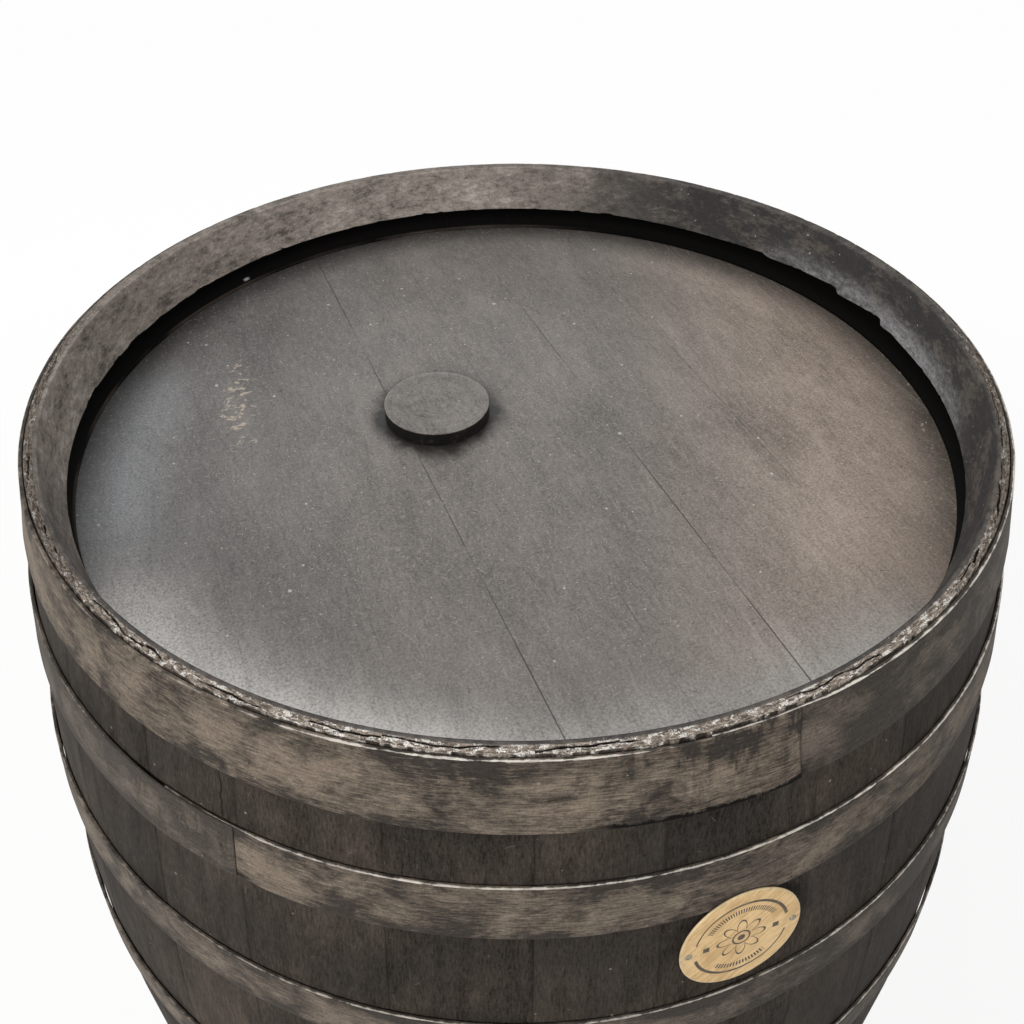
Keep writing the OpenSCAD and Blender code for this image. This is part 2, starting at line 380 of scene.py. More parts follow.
# half of a stave's section: radius, depth below the rim and its marks, over the rim to mid-height
def staveHalf():
    rows = []

    def add(radius, depth, **marks):
        rows.append((radius, depth, marks))

    rim, frayReach = cask["endRadius"], staves["frayReach"]
    for depth in staves["outerRows"]:
        add(faceRadius(depth * mm), depth * mm, outer=1.0, across=1.0, fray=max(0.0, 1 - depth / frayReach))
    add(rim - 0.15 * mm, 0.15 * mm, outer=0.5, across=1.0, fray=1.0)
    for step in range(staves["crestSteps"]):
        add(rim - (0.5 + step * 0.5) * mm, 0.0, crest=1.0, across=1 - step / staves["crestSteps"], fray=1.0)
    for inward, depth in ((6.45, 0.05), (6.85, 0.25), (7.13, 0.65), (7.3, 1.4)):
        add(rim - inward * mm, depth * mm, crest=0.5 if depth < 0.2 else 0.0, bevel=1.0, fray=0.6)
    for depth in staves["bevelRows"]:
        foot = (staves["bevelRows"][-1] - depth) / frayReach
        add(rim - chime["crest"] - bevelSlope * depth * mm, depth * mm, bevel=1.0,
            fray=max(0.0, 0.5 - depth / frayReach), foot=max(0.0, 1 - foot))
    half = (chime["lipTop"] - chime["bevelHeight"]) / 2
    hollow = (half ** 2 + chime["howelDeep"] ** 2) / (2 * chime["howelDeep"])
    reach = math.asin(half / hollow)
    centre = bevelFoot + chime["howelDeep"] - hollow
    for share in staves["howelRows"]:
        turn = -reach + 2 * reach * share
        depth = chime["bevelHeight"] + half + hollow * math.sin(turn)
        add(centre + hollow * math.cos(turn), depth, howel=1.0, foot=max(0.0, 1 - share * 2.2))
    for depth in (chime["lipTop"], 0.5 * (chime["lipTop"] + chime["crozeTop"]), chime["crozeTop"]):
        add(bevelFoot, depth, howel=1.0)
    add(crozeRadius, chime["crozeTop"], howel=1.0)
    add(crozeRadius, chime["crozeTop"] + chime["crozeWide"], howel=1.0)
    for depth in staves["insideRows"]:
        add(faceRadius(depth * mm, -cask["thick"]), depth * mm, inside=1.0)
    return rows


staveMarks = ("outer", "crest", "across", "fray", "bevel", "foot", "howel", "inside")


def staveOutline():
    upper = staveHalf()
    rows = [(r, midZ - d, m) for r, d, m in upper]
    rows += [(r, d - midZ, m) for r, d, m in reversed(upper[1:-1])]
    points = [(r - cask["endRadius"], -z) for r, z, m in rows]
    return outlineMesh("staveOutline", points, {
        name: [m.get(name, 0.0) for r, z, m in rows] for name in staveMarks})


# the section swept through a stave's share of the turn, then splintered, chipped and grooved
def staveTree():
    taps, sink = newTree(
        "staveShape", "Middle", "Sweep", "Columns", "Fray", "Chips", "Groove", "Groove Width", "Seed", "Tone")
    start = taps["Geometry"]
    section = start.make("GeometryNodeMeshToCurve", {}, {"Mesh": start})
    half = taps["Sweep"] * 0.5
    arc = start.make("GeometryNodeCurveArc", {"mode": "RADIUS"}, {
        "Resolution": taps["Columns"], "Radius": cask["endRadius"],
        "Start Angle": -half, "Sweep Angle": taps["Sweep"]})
    shape = swept(arc, section)

    x, y, z = parts(start.make("GeometryNodeInputPosition"))
    radius = distance(x, y)
    side = azimuth(x, y) / half
    side = side * 1.28 - side * side * side * 0.28          # columns closer together at the joints
    turn = side * half + taps["Middle"]
    spot = joined(start, radius * cosine(turn), radius * sine(turn), z)
    own = shifted(spot, joined(start, taps["Seed"] * 0.37, taps["Seed"] * 0.61, taps["Seed"] * 0.13))
    end = z.calc("SIGN")
    upperEnd = ease(z, 0.0, 0.1)
    across, fray = marked(start, "across"), marked(start, "fray")

    # splinters run along the rim, so its pattern is stretched that way
    along = turn * cask["endRadius"]
    rim = joined(start, along, across * 6 * mm, taps["Seed"] * 0.41 + end)
    fibre = cloud(squeezed(rim, (0.35, 1.0, 1.0)), 800.0, 2.0, 0.6)
    chips = ease(cloud(squeezed(rim, (0.45, 1.0, 1.0)), 330.0, 3.0, 0.6), 0.5, 0.6)
    wander = abs(across - 0.52 - swing(cloud(rim, 34.0, 2.0), 1.3))
    split = ease(wander, 0.12, 0.03) * ease(cloud(shifted(rim, (0.2, 0.1, 0.3)), 25.0, 2.0), 0.45, 0.53)
    broken = ease(cloud(rim, 95.0, 3.0), 0.52, 0.64) * ease(across, 0.5, 0.95)
    worn = ease(facing(turn, staves["wornSide"]), -0.35, 0.45)
    worn = worn * 0.95 + 0.05 + ease(cloud(own, 12.0, 1.0), 0.58, 0.7) * 0.25
    torn = capped((fibre * 0.35 + chips * 0.25 + split * 0.75 + broken * 0.25 - 0.08) * worn)
    torn = torn * ease(across, 0.12, 0.34)
    drop = torn * fray * taps["Fray"]

    lift = ease(cloud(own, 62.0, 4.0, 0.6), 0.5, 0.72) * taps["Chips"]
    for at, span, deep in staves["tears"]:
        run = (turn - math.radians(at)) / math.radians(span)
        lift = lift + ease(run, -0.06, 0.02) * (1.0 - run).calc("MAXIMUM") * upperEnd * deep
    lift = lift * marked(start, "foot")

    gap = (1.0 - abs(side)) * half * radius
    groove = ease(gap, taps["Groove Width"], 0.0) * taps["Groove"]
    outer, bevel = marked(start, "outer"), marked(start, "bevel")
    uneven = cloud(squeezed(own, (1.0, 1.0, 0.25)), 20.0, 2.0) * 0.4 * mm
    radius = radius - outer * (groove + uneven) + bevel * (groove * 0.4 + lift * bevelSlope)
    height = z + end * (lift - drop) - end * marked(start, "crest") * groove * 0.6 + midZ
    shape = noted(shape, torn=torn * fray, worn=worn, joint=ease(gap, 2 * mm, 0.0), tone=taps["Tone"])
    shape = placed(shape, radius * cosine(turn), radius * sine(turn), height)
    return closeTree(taps, sink, shape, 38)


# a stave's width against the usual one; both sides of the cask are alike
def staveShare(k):
    if k == staves["bungStave"]:
        return staves["bungStaveWide"]
    return 1 + staves["vary"] * math.cos(math.radians(222.5 * min(k, staves["count"] - k)))


hoops = {
    "thick": 2 * mm,
    "off": 0.3 * mm,          # clear of the staves
    "lap": 43 * mm,
    "ramp": 60 * mm,          # length over which the outer end climbs onto the inner one
    "lift": 0.3 * mm,         # how far it climbs: both ends are hammered thin at the lap
    "columns": 1000,
    "nick": 0.5 * mm,
    "dent": 0.5 * mm,
    "wave": 0.8 * mm,         # how unevenly wide the straps are
    "tipThin": 0.7 * mm,      # how much of the outer end's face is hammered away
    "fullGape": 2.6 * mm,     # an outer end this much narrower gapes fully along its lower edge
    "lowerTurn": 165.0,       # the lower laps' turn from the upper ones, degrees
    # points round the strap's lower and upper edges: mm in from the edge, share of the thickness, wear
    "lowerEdge": ((0.0, 0.45, 0.3), (0.06, 0.75, 0.45), (0.25, 0.94, 0.3)),
    "upperEdge": ((0.55, 1.0, 0.15), (0.26, 0.97, 0.8), (0.07, 0.84, 1.0), (0.0, 0.6, 0.65),
                  (0.02, 0.35, 0.3), (0.06, 0.15, 0.1), (0.3, 0.0, 0.0)),
    # name: depth below the rim, width, middle of the lap, how much narrower the outer end is,
    # and how worn the paint is at the inner and at the outer end
    "bands": {
        "chime_hoop": (1 * mm, 40 * mm, -89.5, 2.6 * mm, 0.25, 0.92),
        "collar_hoop": (74 * mm, 34 * mm, -139.5, 0.0, 0.85, 0.12),
        "quarter_hoop": (178 * mm, 30 * mm, 62.0, 0.8 * mm, 0.95, 0.15),
        "bilge_hoop": (306 * mm, 30 * mm, 118.0, 0.0, 0.7, 0.4),
    },
}


# a strap's section with rounded edges, leaning as the staves lean there
def strapOutline(depth, wide):
    low, high = faceRadius(depth + wide) + hoops["off"], faceRadius(depth) + hoops["off"]
    thick = hoops["thick"]
    rows = [(inward * mm, share * thick, edge) for inward, share, edge in hoops["lowerEdge"]]
    rows += [(0.6 * mm + (wide - 1.6 * mm) * k / 12, thick, 0.0) for k in range(13)]
    rows += [(wide - inward * mm, share * thick, edge) for inward, share, edge in hoops["upperEdge"]]
    rows += [(wide * share, 0.0, 0.0) for share in (0.8, 0.6, 0.4, 0.2)] + [(0.2 * mm, 0.0, 0.2)]
    middle = (low + high) / 2
    points = [(low + (high - low) * v / wide + out - middle, -(v - wide / 2)) for v, out, edge in rows]
    return middle, outlineMesh("strapOutline", points, {
        "across": [v / wide for v, out, edge in rows], "edge": [edge for v, out, edge in rows],
        "outward": [out / thick for v, out, edge in rows]})


# the strap carried a little over one turn, its outer end lapped on the inner one
def hoopTree():
    taps, sink = newTree(
        "hoopShape", "Radius", "Start", "Turn", "Lap", "Ramp", "Columns", "Thick", "Lift", "Narrow", "Nick",
        "Dent", "Wave", "Tip", "Seed", "Height", "Flip", "Tone", "Wear Inner", "Wear Outer")
    start = taps["Geometry"]
    section = start.make("GeometryNodeMeshToCurve", {}, {"Mesh": start})
    line = start.make("GeometryNodeCurvePrimitiveLine")
    line = line.make("GeometryNodeResampleCurve", {}, {"Curve": line, "Count": taps["Columns"]})
    along = start.make("GeometryNodeSplineParameter", {}, {}, "Factor")
    line = noted(line, along=along)
    turn = taps["Start"] + along * taps["Turn"]
    line = placed(line, taps["Radius"] * cosine(turn), taps["Radius"] * sine(turn), 0.0)
    shape = swept(line, section)

    x, y, z = parts(start.make("GeometryNodeInputPosition"))
    radius = distance(x, y)
    place = shifted(start.make("GeometryNodeInputPosition"), joined(
        start, taps["Seed"] * 0.41, taps["Seed"] * 0.23, taps["Seed"] * 0.57))
    along, across, edge, outward = (marked(start, name) for name in ("along", "across", "edge", "outward"))
    lapShare, rampShare = taps["Lap"] / taps["Turn"], taps["Ramp"] / taps["Turn"]
    climb = ease(along, 1.0 - lapShare - rampShare, 1.0 - lapShare)
    thin = ease(along, lapShare + rampShare * 0.3, lapShare) + climb      # thinned at both ends
    bulge = ease(cloud(squeezed(place, (1.0, 1.0, 2.0)), 16.0, 2.0), 0.5, 0.8) * taps["Dent"] * (1.0 - thin)
    nick = ease(cloud(place, 130.0, 3.0, 0.6), 0.52, 0.75) * taps["Nick"] * edge
    wave = swing(cloud(place, 22.0, 2.0), taps["Wave"])
    spare = taps["Thick"] - (taps["Thick"] + taps["Lift"]) * 0.5
    flare = climb * taps["Narrow"] * ease(across, 0.3, 0.0) * 0.6      # the lap gapes along its lower edge
    tip = ease(along, 0.9965, 1.0) * taps["Tip"]                       # and the outer end is thinner still
    rise = climb * (taps["Thick"] - spare + 0.05 * mm) - outward * (thin * spare + tip) + flare
    radius = (radius + rise + bulge) / radius
    height = z - nick * ease(across, 0.4, 0.6) + swing(across, wave)
    height = height + climb * taps["Narrow"] * (1.0 - across)
    wear = taps["Wear Inner"] + (taps["Wear Outer"] - taps["Wear Inner"]) * along
    gape = climb * taps["Narrow"] / hoops["fullGape"]
    shape = noted(shape, tone=taps["Tone"], climb=climb, wear=wear, gape=gape)
    shape = placed(shape, x * radius, y * radius, height * taps["Flip"] + taps["Height"])
    return closeTree(taps, sink, shape, 40)


rivets = {
    "radius": 4.5 * mm,
    "proud": 0.3 * mm,
    "flat": 0.62,             # share of the dome's height where it is hammered flat
    "dent": 0.22,
    "over": 0.1 * mm,         # how far its middle is above the strap
}


# a hammered, painted-over rivet head on each point, facing out of the strap
def rivetTree():
    taps, sink = newTree("rivetShape", "Radius", "Proud", "Flat", "Dent")
    start = taps["Geometry"]
    dome = start.make("GeometryNodeMeshUVSphere", {}, {"Segments": 28, "Rings": 14, "Radius": 1.0})
    x, y, z = parts(start.make("GeometryNodeInputPosition"))
    top = z.calc("MINIMUM", taps["Flat"]) / taps["Flat"]
    dent = cloud(start.make("GeometryNodeInputPosition"), 2.4, 2.0) * taps["Dent"]
    dome = placed(dome, x * taps["Radius"], y * taps["Radius"], (top - dent) * taps["Proud"])
    out = start.make("GeometryNodeInputNamedAttribute", {"data_type": "FLOAT_VECTOR"}, {"Name": "facing"})
    turn = out.make("FunctionNodeAlignRotationToVector", {"axis": "Z"}, {"Vector": out})
    shape = start.make("GeometryNodeInstanceOnPoints", {}, {
        "Points": start, "Instance": dome, "Rotation": turn})
    shape = shape.make("GeometryNodeRealizeInstances", {}, {"Geometry": shape})
    shape = noted(shape, edge=0.1, climb=1.0, across=0.5, along=0.5)
    return closeTree(taps, sink, shape, 50)


heads = {
    "radius": crozeRadius - 0.4 * mm,
    "face": cask["height"] - chime["crozeTop"] - 0.2 * mm,
    "thick": 22 * mm,
    "edge": 5.6 * mm,
    "tongue": faceRadius(chime["crozeTop"] + chime["crozeWide"], -cask["thick"]) - 1.5 * mm,
    "chamfer": 24 * mm,
    "turn": 1.8,
    "across": 10,             # faces across and along a board
    "along": 40,
    # joints as shares of the radius, how far they stand open and how far the edges are eased there, in mm
    "joints": (-1.01, -0.725, -0.485, -0.25, -0.016, 0.208, 0.492, 0.74, 1.01),
    "gaps": (0.0, 0.02, 0.02, 0.03, 0.02, 0.03, 0.02, 0.02, 0.0),
    "eased": (0.3, 0.03, 0.03, 0.04, 0.03, 0.04, 0.03, 0.03, 0.3),
    "filled": {3: 0.8, 4: 0.35, 5: 0.8, 6: 0.35},     # how dark these joints show through the paint
    # how far each board is cupped, in mm
    "cup": (0.0, 0.02, 0.04, 0.1, 0.12, 0.12, 0.06, 0.02),
}


# one board of a head: two grids and the steps of its edge between them
def headBoard(j):
    acrossCount, alongCount = heads["across"], heads["along"]
    leftEase, rightEase = heads["eased"][j] * mm, heads["eased"][j + 1] * mm
    left = heads["joints"][j] * heads["radius"] + heads["gaps"][j] * mm / 2
    right = heads["joints"][j + 1] * heads["radius"] - heads["gaps"][j + 1] * mm / 2
    levels = (                # radius, height and how far the joints are eased
        (heads["radius"] - 0.5 * mm, 0.0, 1.0),
        (heads["radius"], -0.35 * mm, 0.0),
        (heads["radius"], -heads["edge"], 0.0),
        (heads["tongue"], -heads["edge"] - 0.05 * mm, 0.0),
        (heads["tongue"] - heads["chamfer"], -heads["thick"], 0.0),
    )
    form = bmesh.new()

    def grid(radius, z, eased, cup):
        rows = []
        reach = radius * 0.9992
        low = max(left + leftEase * eased, -reach)
        high = min(right - rightEase * eased, reach)
        for a in range(acrossCount + 1):
            u = a / acrossCount
            x = low + (high - low) * u
            chord = math.sqrt(radius ** 2 - x ** 2)
            rows.append([form.verts.new((x, chord * (2 * b / alongCount - 1), z - cup * (2 * u - 1) ** 2))
                         for b in range(alongCount + 1)])
        return rows

    def border(rows):
        first, last = [row[0] for row in rows], [row[-1] for row in rows]
        return first + rows[-1][1:] + last[-2::-1] + rows[0][-2:0:-1]

    grids = [grid(radius, z, eased, heads["cup"][j] * mm if eased else 0.0) for radius, z, eased in levels]
    rings = [border(rows) for rows in grids]
    for rows, up in ((grids[0], True), (grids[-1], False)):
        for a in range(acrossCount):
            for b in range(alongCount):
                corners = [rows[a][b], rows[a + 1][b], rows[a + 1][b + 1], rows[a][b + 1]]
                form.faces.new(corners if up else corners[::-1])
    for above, below in zip(rings, rings[1:]):
        for k in range(len(above)):
            n = (k + 1) % len(above)
            form.faces.new((above[k], below[k], below[n], above[n]))
    loose = [v for v in form.verts if not v.link_faces]
    bmesh.ops.delete(form, geom=loose, context="VERTS")
    return form


bung = {
    "board": "upper_head_board_4",
    "at": (-44 * mm, 28 * mm),    # on the boards, before their turn
    "radius": 34 * mm,
    "height": 9.5 * mm,
    "hole": 20 * mm,
    "shank": 26 * mm,
    "taper": 0.06,            # of both bungs and their holes
    "gap": 0.3 * mm,
    "spare": 2 * mm,          # how far the holes' cutters reach past the wood
    "sides": 128,
    "holeSides": 96,
    "uneven": ((55.0, 0.14 * mm), (260.0, 0.06 * mm)),    # bumps to a metre and their depth, on its top
    "pinch": (150.0, 0.25 * mm),                          # and round its edge
    # points of its outline: mm from the middle of its top, shares of its side and of its shank
    "topRows": (5, 10, 15, 20, 25, 29, 31.5, 32.8),
    "sideRows": (0.75, 0.55, 0.35, 0.15, 0.05),
    "shankRows": (0.25, 0.5, 0.75, 0.95),
}
headTurn = Matrix.Rotation(math.radians(heads["turn"]), 4, "Z")
bungSpot = headTurn @ Vector((*bung["at"], heads["face"]))

bilgeBung = {
    "hole": 25 * mm,
    "holeDeep": 40 * mm,
    "length": 42 * mm,
    "painted": 1.5 * mm,      # depth of the paint round its end
    "dish": 0.05 * mm,        # how hollow its end is
    "uneven": (120.0, 0.2 * mm),
    "sides": 96,
    # points of its outline: shares of its end and of its length
    "faceRows": (0.3, 0.6, 0.85),
    "shankRows": (0.03, 0.15, 0.35, 0.55, 0.75, 0.96),
}
bilgePlace = Matrix.Translation((0.0, cask["bilgeRadius"], midZ)) @ Matrix.Rotation(-math.pi / 2, 4, "X")

badge = {
    "depth": 134 * mm,
    "radius": 33 * mm,
    "thick": 1.2 * mm,
    "off": 2.5 * mm,
    "nailAt": 28.5 * mm,
    "nailHead": 2 * mm,
    "nailProud": 0.8 * mm,
    "nailLong": 19 * mm,
    "nailShank": 0.8 * mm,
    "bend": 0.12 * mm,        # how far its edge is bent back
    "uneven": (70.0, 0.06 * mm),
    "sides": 120,
    "nailSides": 24,
    "faceRows": (0.15, 0.3, 0.45, 0.6, 0.72, 0.82, 0.9, 0.95),                  # shares of the radius
    "nailDome": ((0.35, 0.95), (0.65, 0.75), (0.88, 0.42), (1.0, 0.1)),         # shares of radius and height
}
badgeLean = math.asin((midZ - badge["depth"]) / arcRadius)
badgeTurn = Euler((math.pi / 2 - badgeLean, 0.0, 0.0))
badgeSpot = Vector((0.0, -faceRadius(badge["depth"]), cask["height"] - badge["depth"]))
badgePlace = Matrix.Translation(badgeSpot) @ badgeTurn.to_matrix().to_4x4()


# colours of the paint and wear of the staves; a pair is mixed by a pattern; azimuths in degrees
staveLook = {
    "paint": ((0.036, 0.031, 0.0272), (0.058, 0.0478, 0.0395)),
    "lint": (0.3, 0.26, 0.22),
    "joint": (0.009, 0.008, 0.007),
    "slit": (0.004, 0.0035, 0.003),
    "slitAt": -136.8,
    "slitHeights": (0.872, 0.88, 0.9, 0.912),   # where it starts, is whole, thins out and ends
    "bevelDark": ((0.046, 0.0445, 0.0445), (0.082, 0.073, 0.066)),
    "bevelPale": (0.262, 0.231, 0.209),
    "paleAt": 122.0,
    # painted sheen near the bevel's foot on the right
    "sheen": (0.2, 0.203, 0.212),
    "sheenAt": -2.0,
    "rubbed": (0.46, 0.43, 0.4),
    "grime": (0.07, 0.062, 0.056),
    "fibre": ((0.105, 0.085, 0.07), (0.42, 0.362, 0.308)),
    "chip": (0.74, 0.715, 0.68),
    "frontAt": -106.0,
    "split": (0.014, 0.012, 0.010),
    "whole": ((0.075, 0.07, 0.067), (0.16, 0.148, 0.138)),
    "bared": (0.25, 0.21, 0.17),
    # near-black: painted shade in the howel, over dark residue
    "howel": (0.0022, 0.002, 0.0019),
    "lip": (0.1, 0.084, 0.073),
    "lipAt": 125.0,
    # a painted glint in the howel
    "fleck": (0.5, 0.52, 0.54),
    "howelGlintAt": (119.7, 0.4288),                 # azimuth, and height off the middle
    "inside": ((0.17, 0.105, 0.062), (0.25, 0.165, 0.1)),
}


# dark paint outside, grey on the bevel, torn oak on the rim, near-black painted shade over dark residue in
# the howel, stained oak inside
def stavePaint():
    look = staveLook
    finish, place, shader = newFinish("stavePaint", 0.75, 0.03)
    x, y, z = parts(place)
    far, turn, rise = distance(x, y), azimuth(x, y), abs(z - midZ)
    tone, torn, worn = marked(place, "tone"), marked(place, "torn"), marked(place, "worn")
    across, bevelled = marked(place, "across"), marked(place, "bevel")
    own = shifted(place, joined(place, tone * 3.1, tone * 1.7, tone * 5.3))
    grain = cloud(squeezed(own, (1.0, 1.0, 0.025)), 950.0, 3.0, 0.7)
    broad = cloud(squeezed(own, (1.0, 1.0, 0.05)), 110.0, 4.0, 0.65)
    patch = cloud(place, 11.0, 4.0, 0.6)
    fine = cloud(place, 700.0, 2.0, 0.7)
    level = swing(grain, 2.4) + swing(broad, 1.6) + swing(fine, 0.8) + 1.0 + swing(tone, 0.36)
    outer = mixed(ease(patch, 0.38, 0.68), *look["paint"])
    outer = shaded(outer, level.calc("MAXIMUM", 0.25))
    dots = specks(place, 110.0, 0.12)
    lint = strokes(joined(place, turn * cask["bilgeRadius"], z, 0.0), 60.0, 0.003, 0.00025, 0.8)
    outer = mixed(capped(dots * 0.6 + lint * 0.3), outer, look["lint"])
    crack = ease(grain, 0.3, 0.2) * ease(broad, 0.55, 0.4)
    joint = marked(place, "joint") * 0.3 * ease(patch, 0.66, 0.44)
    outer = mixed(capped(crack * 0.6 + joint), outer, look["joint"])

    # one long crack below the top hoop
    sway = swing(cloud(joined(place, 0.0, 0.3, z), 130.0, 3.0), 0.0035)
    off = abs((turn - math.radians(look["slitAt"])) * 0.29 + sway)
    start, whole, thin, end = look["slitHeights"]
    slit = ease(off - patch * 0.0004, 0.0005, 0.0001) * ease(z, start, whole) * ease(z, end, thin)
    outer = mixed(slit * 0.6, outer, look["slit"])

    # bevel: scuffed grey, paler on the left and at the back, darker and smoother on the right, with a painted
    # sheen near its foot on the right
    pale = ease(facing(turn, look["paleAt"]), 0.1, 0.8)
    brushed = squeezed(place, (0.45, 0.45, 1.0))
    mottle = cloud(brushed, 58.0, 6.0, 0.7, 0.25)
    scuff = cloud(shifted(brushed, (0.4, 0.1, 0.7)), 330.0, 4.0, 0.75, 0.3)
    # painted sheen: bluish brightening near the foot on the right
    sheen = ease(rise, 0.462, 0.444) * ease(facing(turn, look["sheenAt"]), 0.86, 0.99)
    sheen = capped(sheen * (mottle * 0.5 + scuff * 1.4 + fine * 0.8 - 0.55))
    dark = mixed(ease(mottle + swing(scuff, 0.4), 0.46, 0.62), *look["bevelDark"])
    bevel = mixed(pale, mixed(sheen, dark, look["sheen"]), look["bevelPale"])
    level = swing(mottle, 2.0) + swing(scuff, 2.2) + swing(fine, 1.1)
    bevel = shaded(bevel, level * (pale * 0.3 + 0.6) + 1.0)
    rubbed = ease(mottle + swing(scuff, 0.6), 0.55, 0.72) * pale * 0.5
    rubbed = rubbed + dots * 0.8 + specks(place, 260.0, 0.16) * (1.0 - pale) * 0.7
    bevel = mixed(capped(rubbed), bevel, look["rubbed"])
    bevel = mixed(ease(mottle + swing(scuff, 0.5), 0.46, 0.3) * 0.5, bevel, look["grime"])

    # torn rim: fibres along it, pale chips at the front, dark splits, plain grey where it is whole
    run = azimuth(-y, x) * cask["endRadius"]
    front = ease(facing(turn, look["frontAt"]), 0.45, 0.9)
    strand = cloud(joined(place, run * 0.25, far, z), 950.0, 4.0, 0.65, 0.4)
    flake = cloud(joined(place, run * 0.5, far, z), 470.0, 3.0, 0.6, 0.5)
    crumb = cloud(place, 1500.0, 3.0, 0.7)
    crest = mixed(ease(strand, 0.36, 0.64), *look["fibre"])
    crest = mixed(ease(flake + front * 0.07 + swing(crumb, 0.35), 0.58, 0.68), crest, look["chip"])
    crest = shaded(crest, (front * 0.42 + 0.46) * (swing(crumb, 2.6) + 1.0))
    crest = mixed(ease(torn, 0.4, 0.75), crest, look["split"])
    smooth = mixed(ease(scuff, 0.35, 0.65), *look["whole"])
    smooth = mixed(pale * 0.5 + 0.5, smooth, shaded(bevel, pale * -0.2 + 0.9))
    bared = ease(across, 0.86, 1.0) * ease(scuff + swing(patch, 0.8), 0.45, 0.6)
    smooth = mixed(bared, smooth, look["bared"])
    frayed = ease(across, 0.2, 0.34) * ease(worn + swing(flake, 0.8), 0.18, 0.4)
    crest = mixed(frayed, smooth, crest)

    # howel: near-black painted shade over dark residue, with a paler lip and one painted glint at the back,
    # and the oak inside
    howel = shaded(look["howel"], fine * 0.8 + 0.6)
    lip = ease(rise, 0.4276, 0.4266) * ease(patch, 0.3, 0.7) * ease(facing(turn, look["lipAt"]), 0.3, 0.8)
    howel = mixed(lip * 0.6, howel, look["lip"])
    # a painted glint: one small pale fleck in the howel at the back
    at, height = look["howelGlintAt"]
    fleck = ease(abs(turn - math.radians(at)), 0.013, 0.002) * ease(abs(rise - height), 0.0012, 0.0002)
    howel = mixed(fleck * 0.7, howel, look["fleck"])
    inside = shaded(mixed(ease(broad, 0.4, 0.6), *look["inside"]), grain * 0.8 + 0.6)

    rim = capped(marked(place, "crest") + ease(torn, 0.08, 0.3))
    colour = mixed(rim, mixed(bevelled, outer, bevel), crest)
    colour = mixed(marked(place, "howel"), colour, howel)
    colour = mixed(marked(place, "inside"), colour, inside)
    relief = bumped(grain * 0.6 + broad * 0.3 - crack * 0.4 - slit + scuff * bevelled * 0.4, 0.5 * mm)
    relief = bumped(strand * rim * frayed + fine * 0.1, 0.7 * mm, relief)
    feed(shader, Base_Color=colour, Roughness=0.6 + grain * 0.15 + rim * 0.15, Normal=relief)
    return finish


# colours and places of the marks on the heads; a sector is its azimuth and two half widths, in degrees
headLook = {
    "right": (0.94, -0.341),                    # towards the side that is lighter and browner
    "grey": ((0.15, 0.1375, 0.129), (0.126, 0.12, 0.117)),
    "brown": (0.286, 0.234, 0.198),
    # pale dust, laid on thick as a painted sheen along the front
    "dustAndSheen": (0.6, 0.588, 0.572),
    "dustAndSheenSectors": ((-141.0, 6.0, 34.0, 1.3), (-100.0, 22.0, 50.0, 1.25)),      # and how thick it lies
    # painted reflection of the sky: bluish along the left edge
    "skyReflection": (0.29, 0.305, 0.325),
    "skyReflectionSector": (168.0, 6.0, 28.0),
    # grime and painted shade along the head's edge, left out in the sector at the front
    "edge": (0.026, 0.024, 0.022),
    "cleanSector": (-112.0, 40.0, 85.0),
    "speck": (0.47, 0.44, 0.4),
    # shift, cells to a metre, size and strength of the specks; length, width and keep of the lint
    "specks": (
        ((0.0, 0.0, 0.0), 85.0, 0.14, 1.0),
        ((0.3, 0.7, 0.1), 200.0, 0.17, 0.7),
        ((0.6, 0.2, 0.0), 400.0, 0.2, 0.9)),
    "lint": (
        ((0.0, 0.0, 0.0), 120.0, 0.0024, 0.00028, 0.45, 1.0),
        ((0.4, 0.2, 0.0), 210.0, 0.0018, 0.00026, 0.35, 0.8),
        ((0.1, 0.9, 0.0), 17.0, 0.016, 0.00035, 0.6, 0.5)),
    # grime with painted shade round the bung's foot
    "grime": (0.02, 0.018, 0.016),
    "scratch": (0.035, 0.032, 0.03),
    "chip": (0.42, 0.355, 0.295),
    "chipField": ((-0.167, 0.076), (0.0155, 0.064), -5.0),                      # place, reach and turn
    "chipSector": (-22.0, 12.0, 30.0),
    "under": ((0.17, 0.105, 0.062), (0.26, 0.17, 0.105)),
}
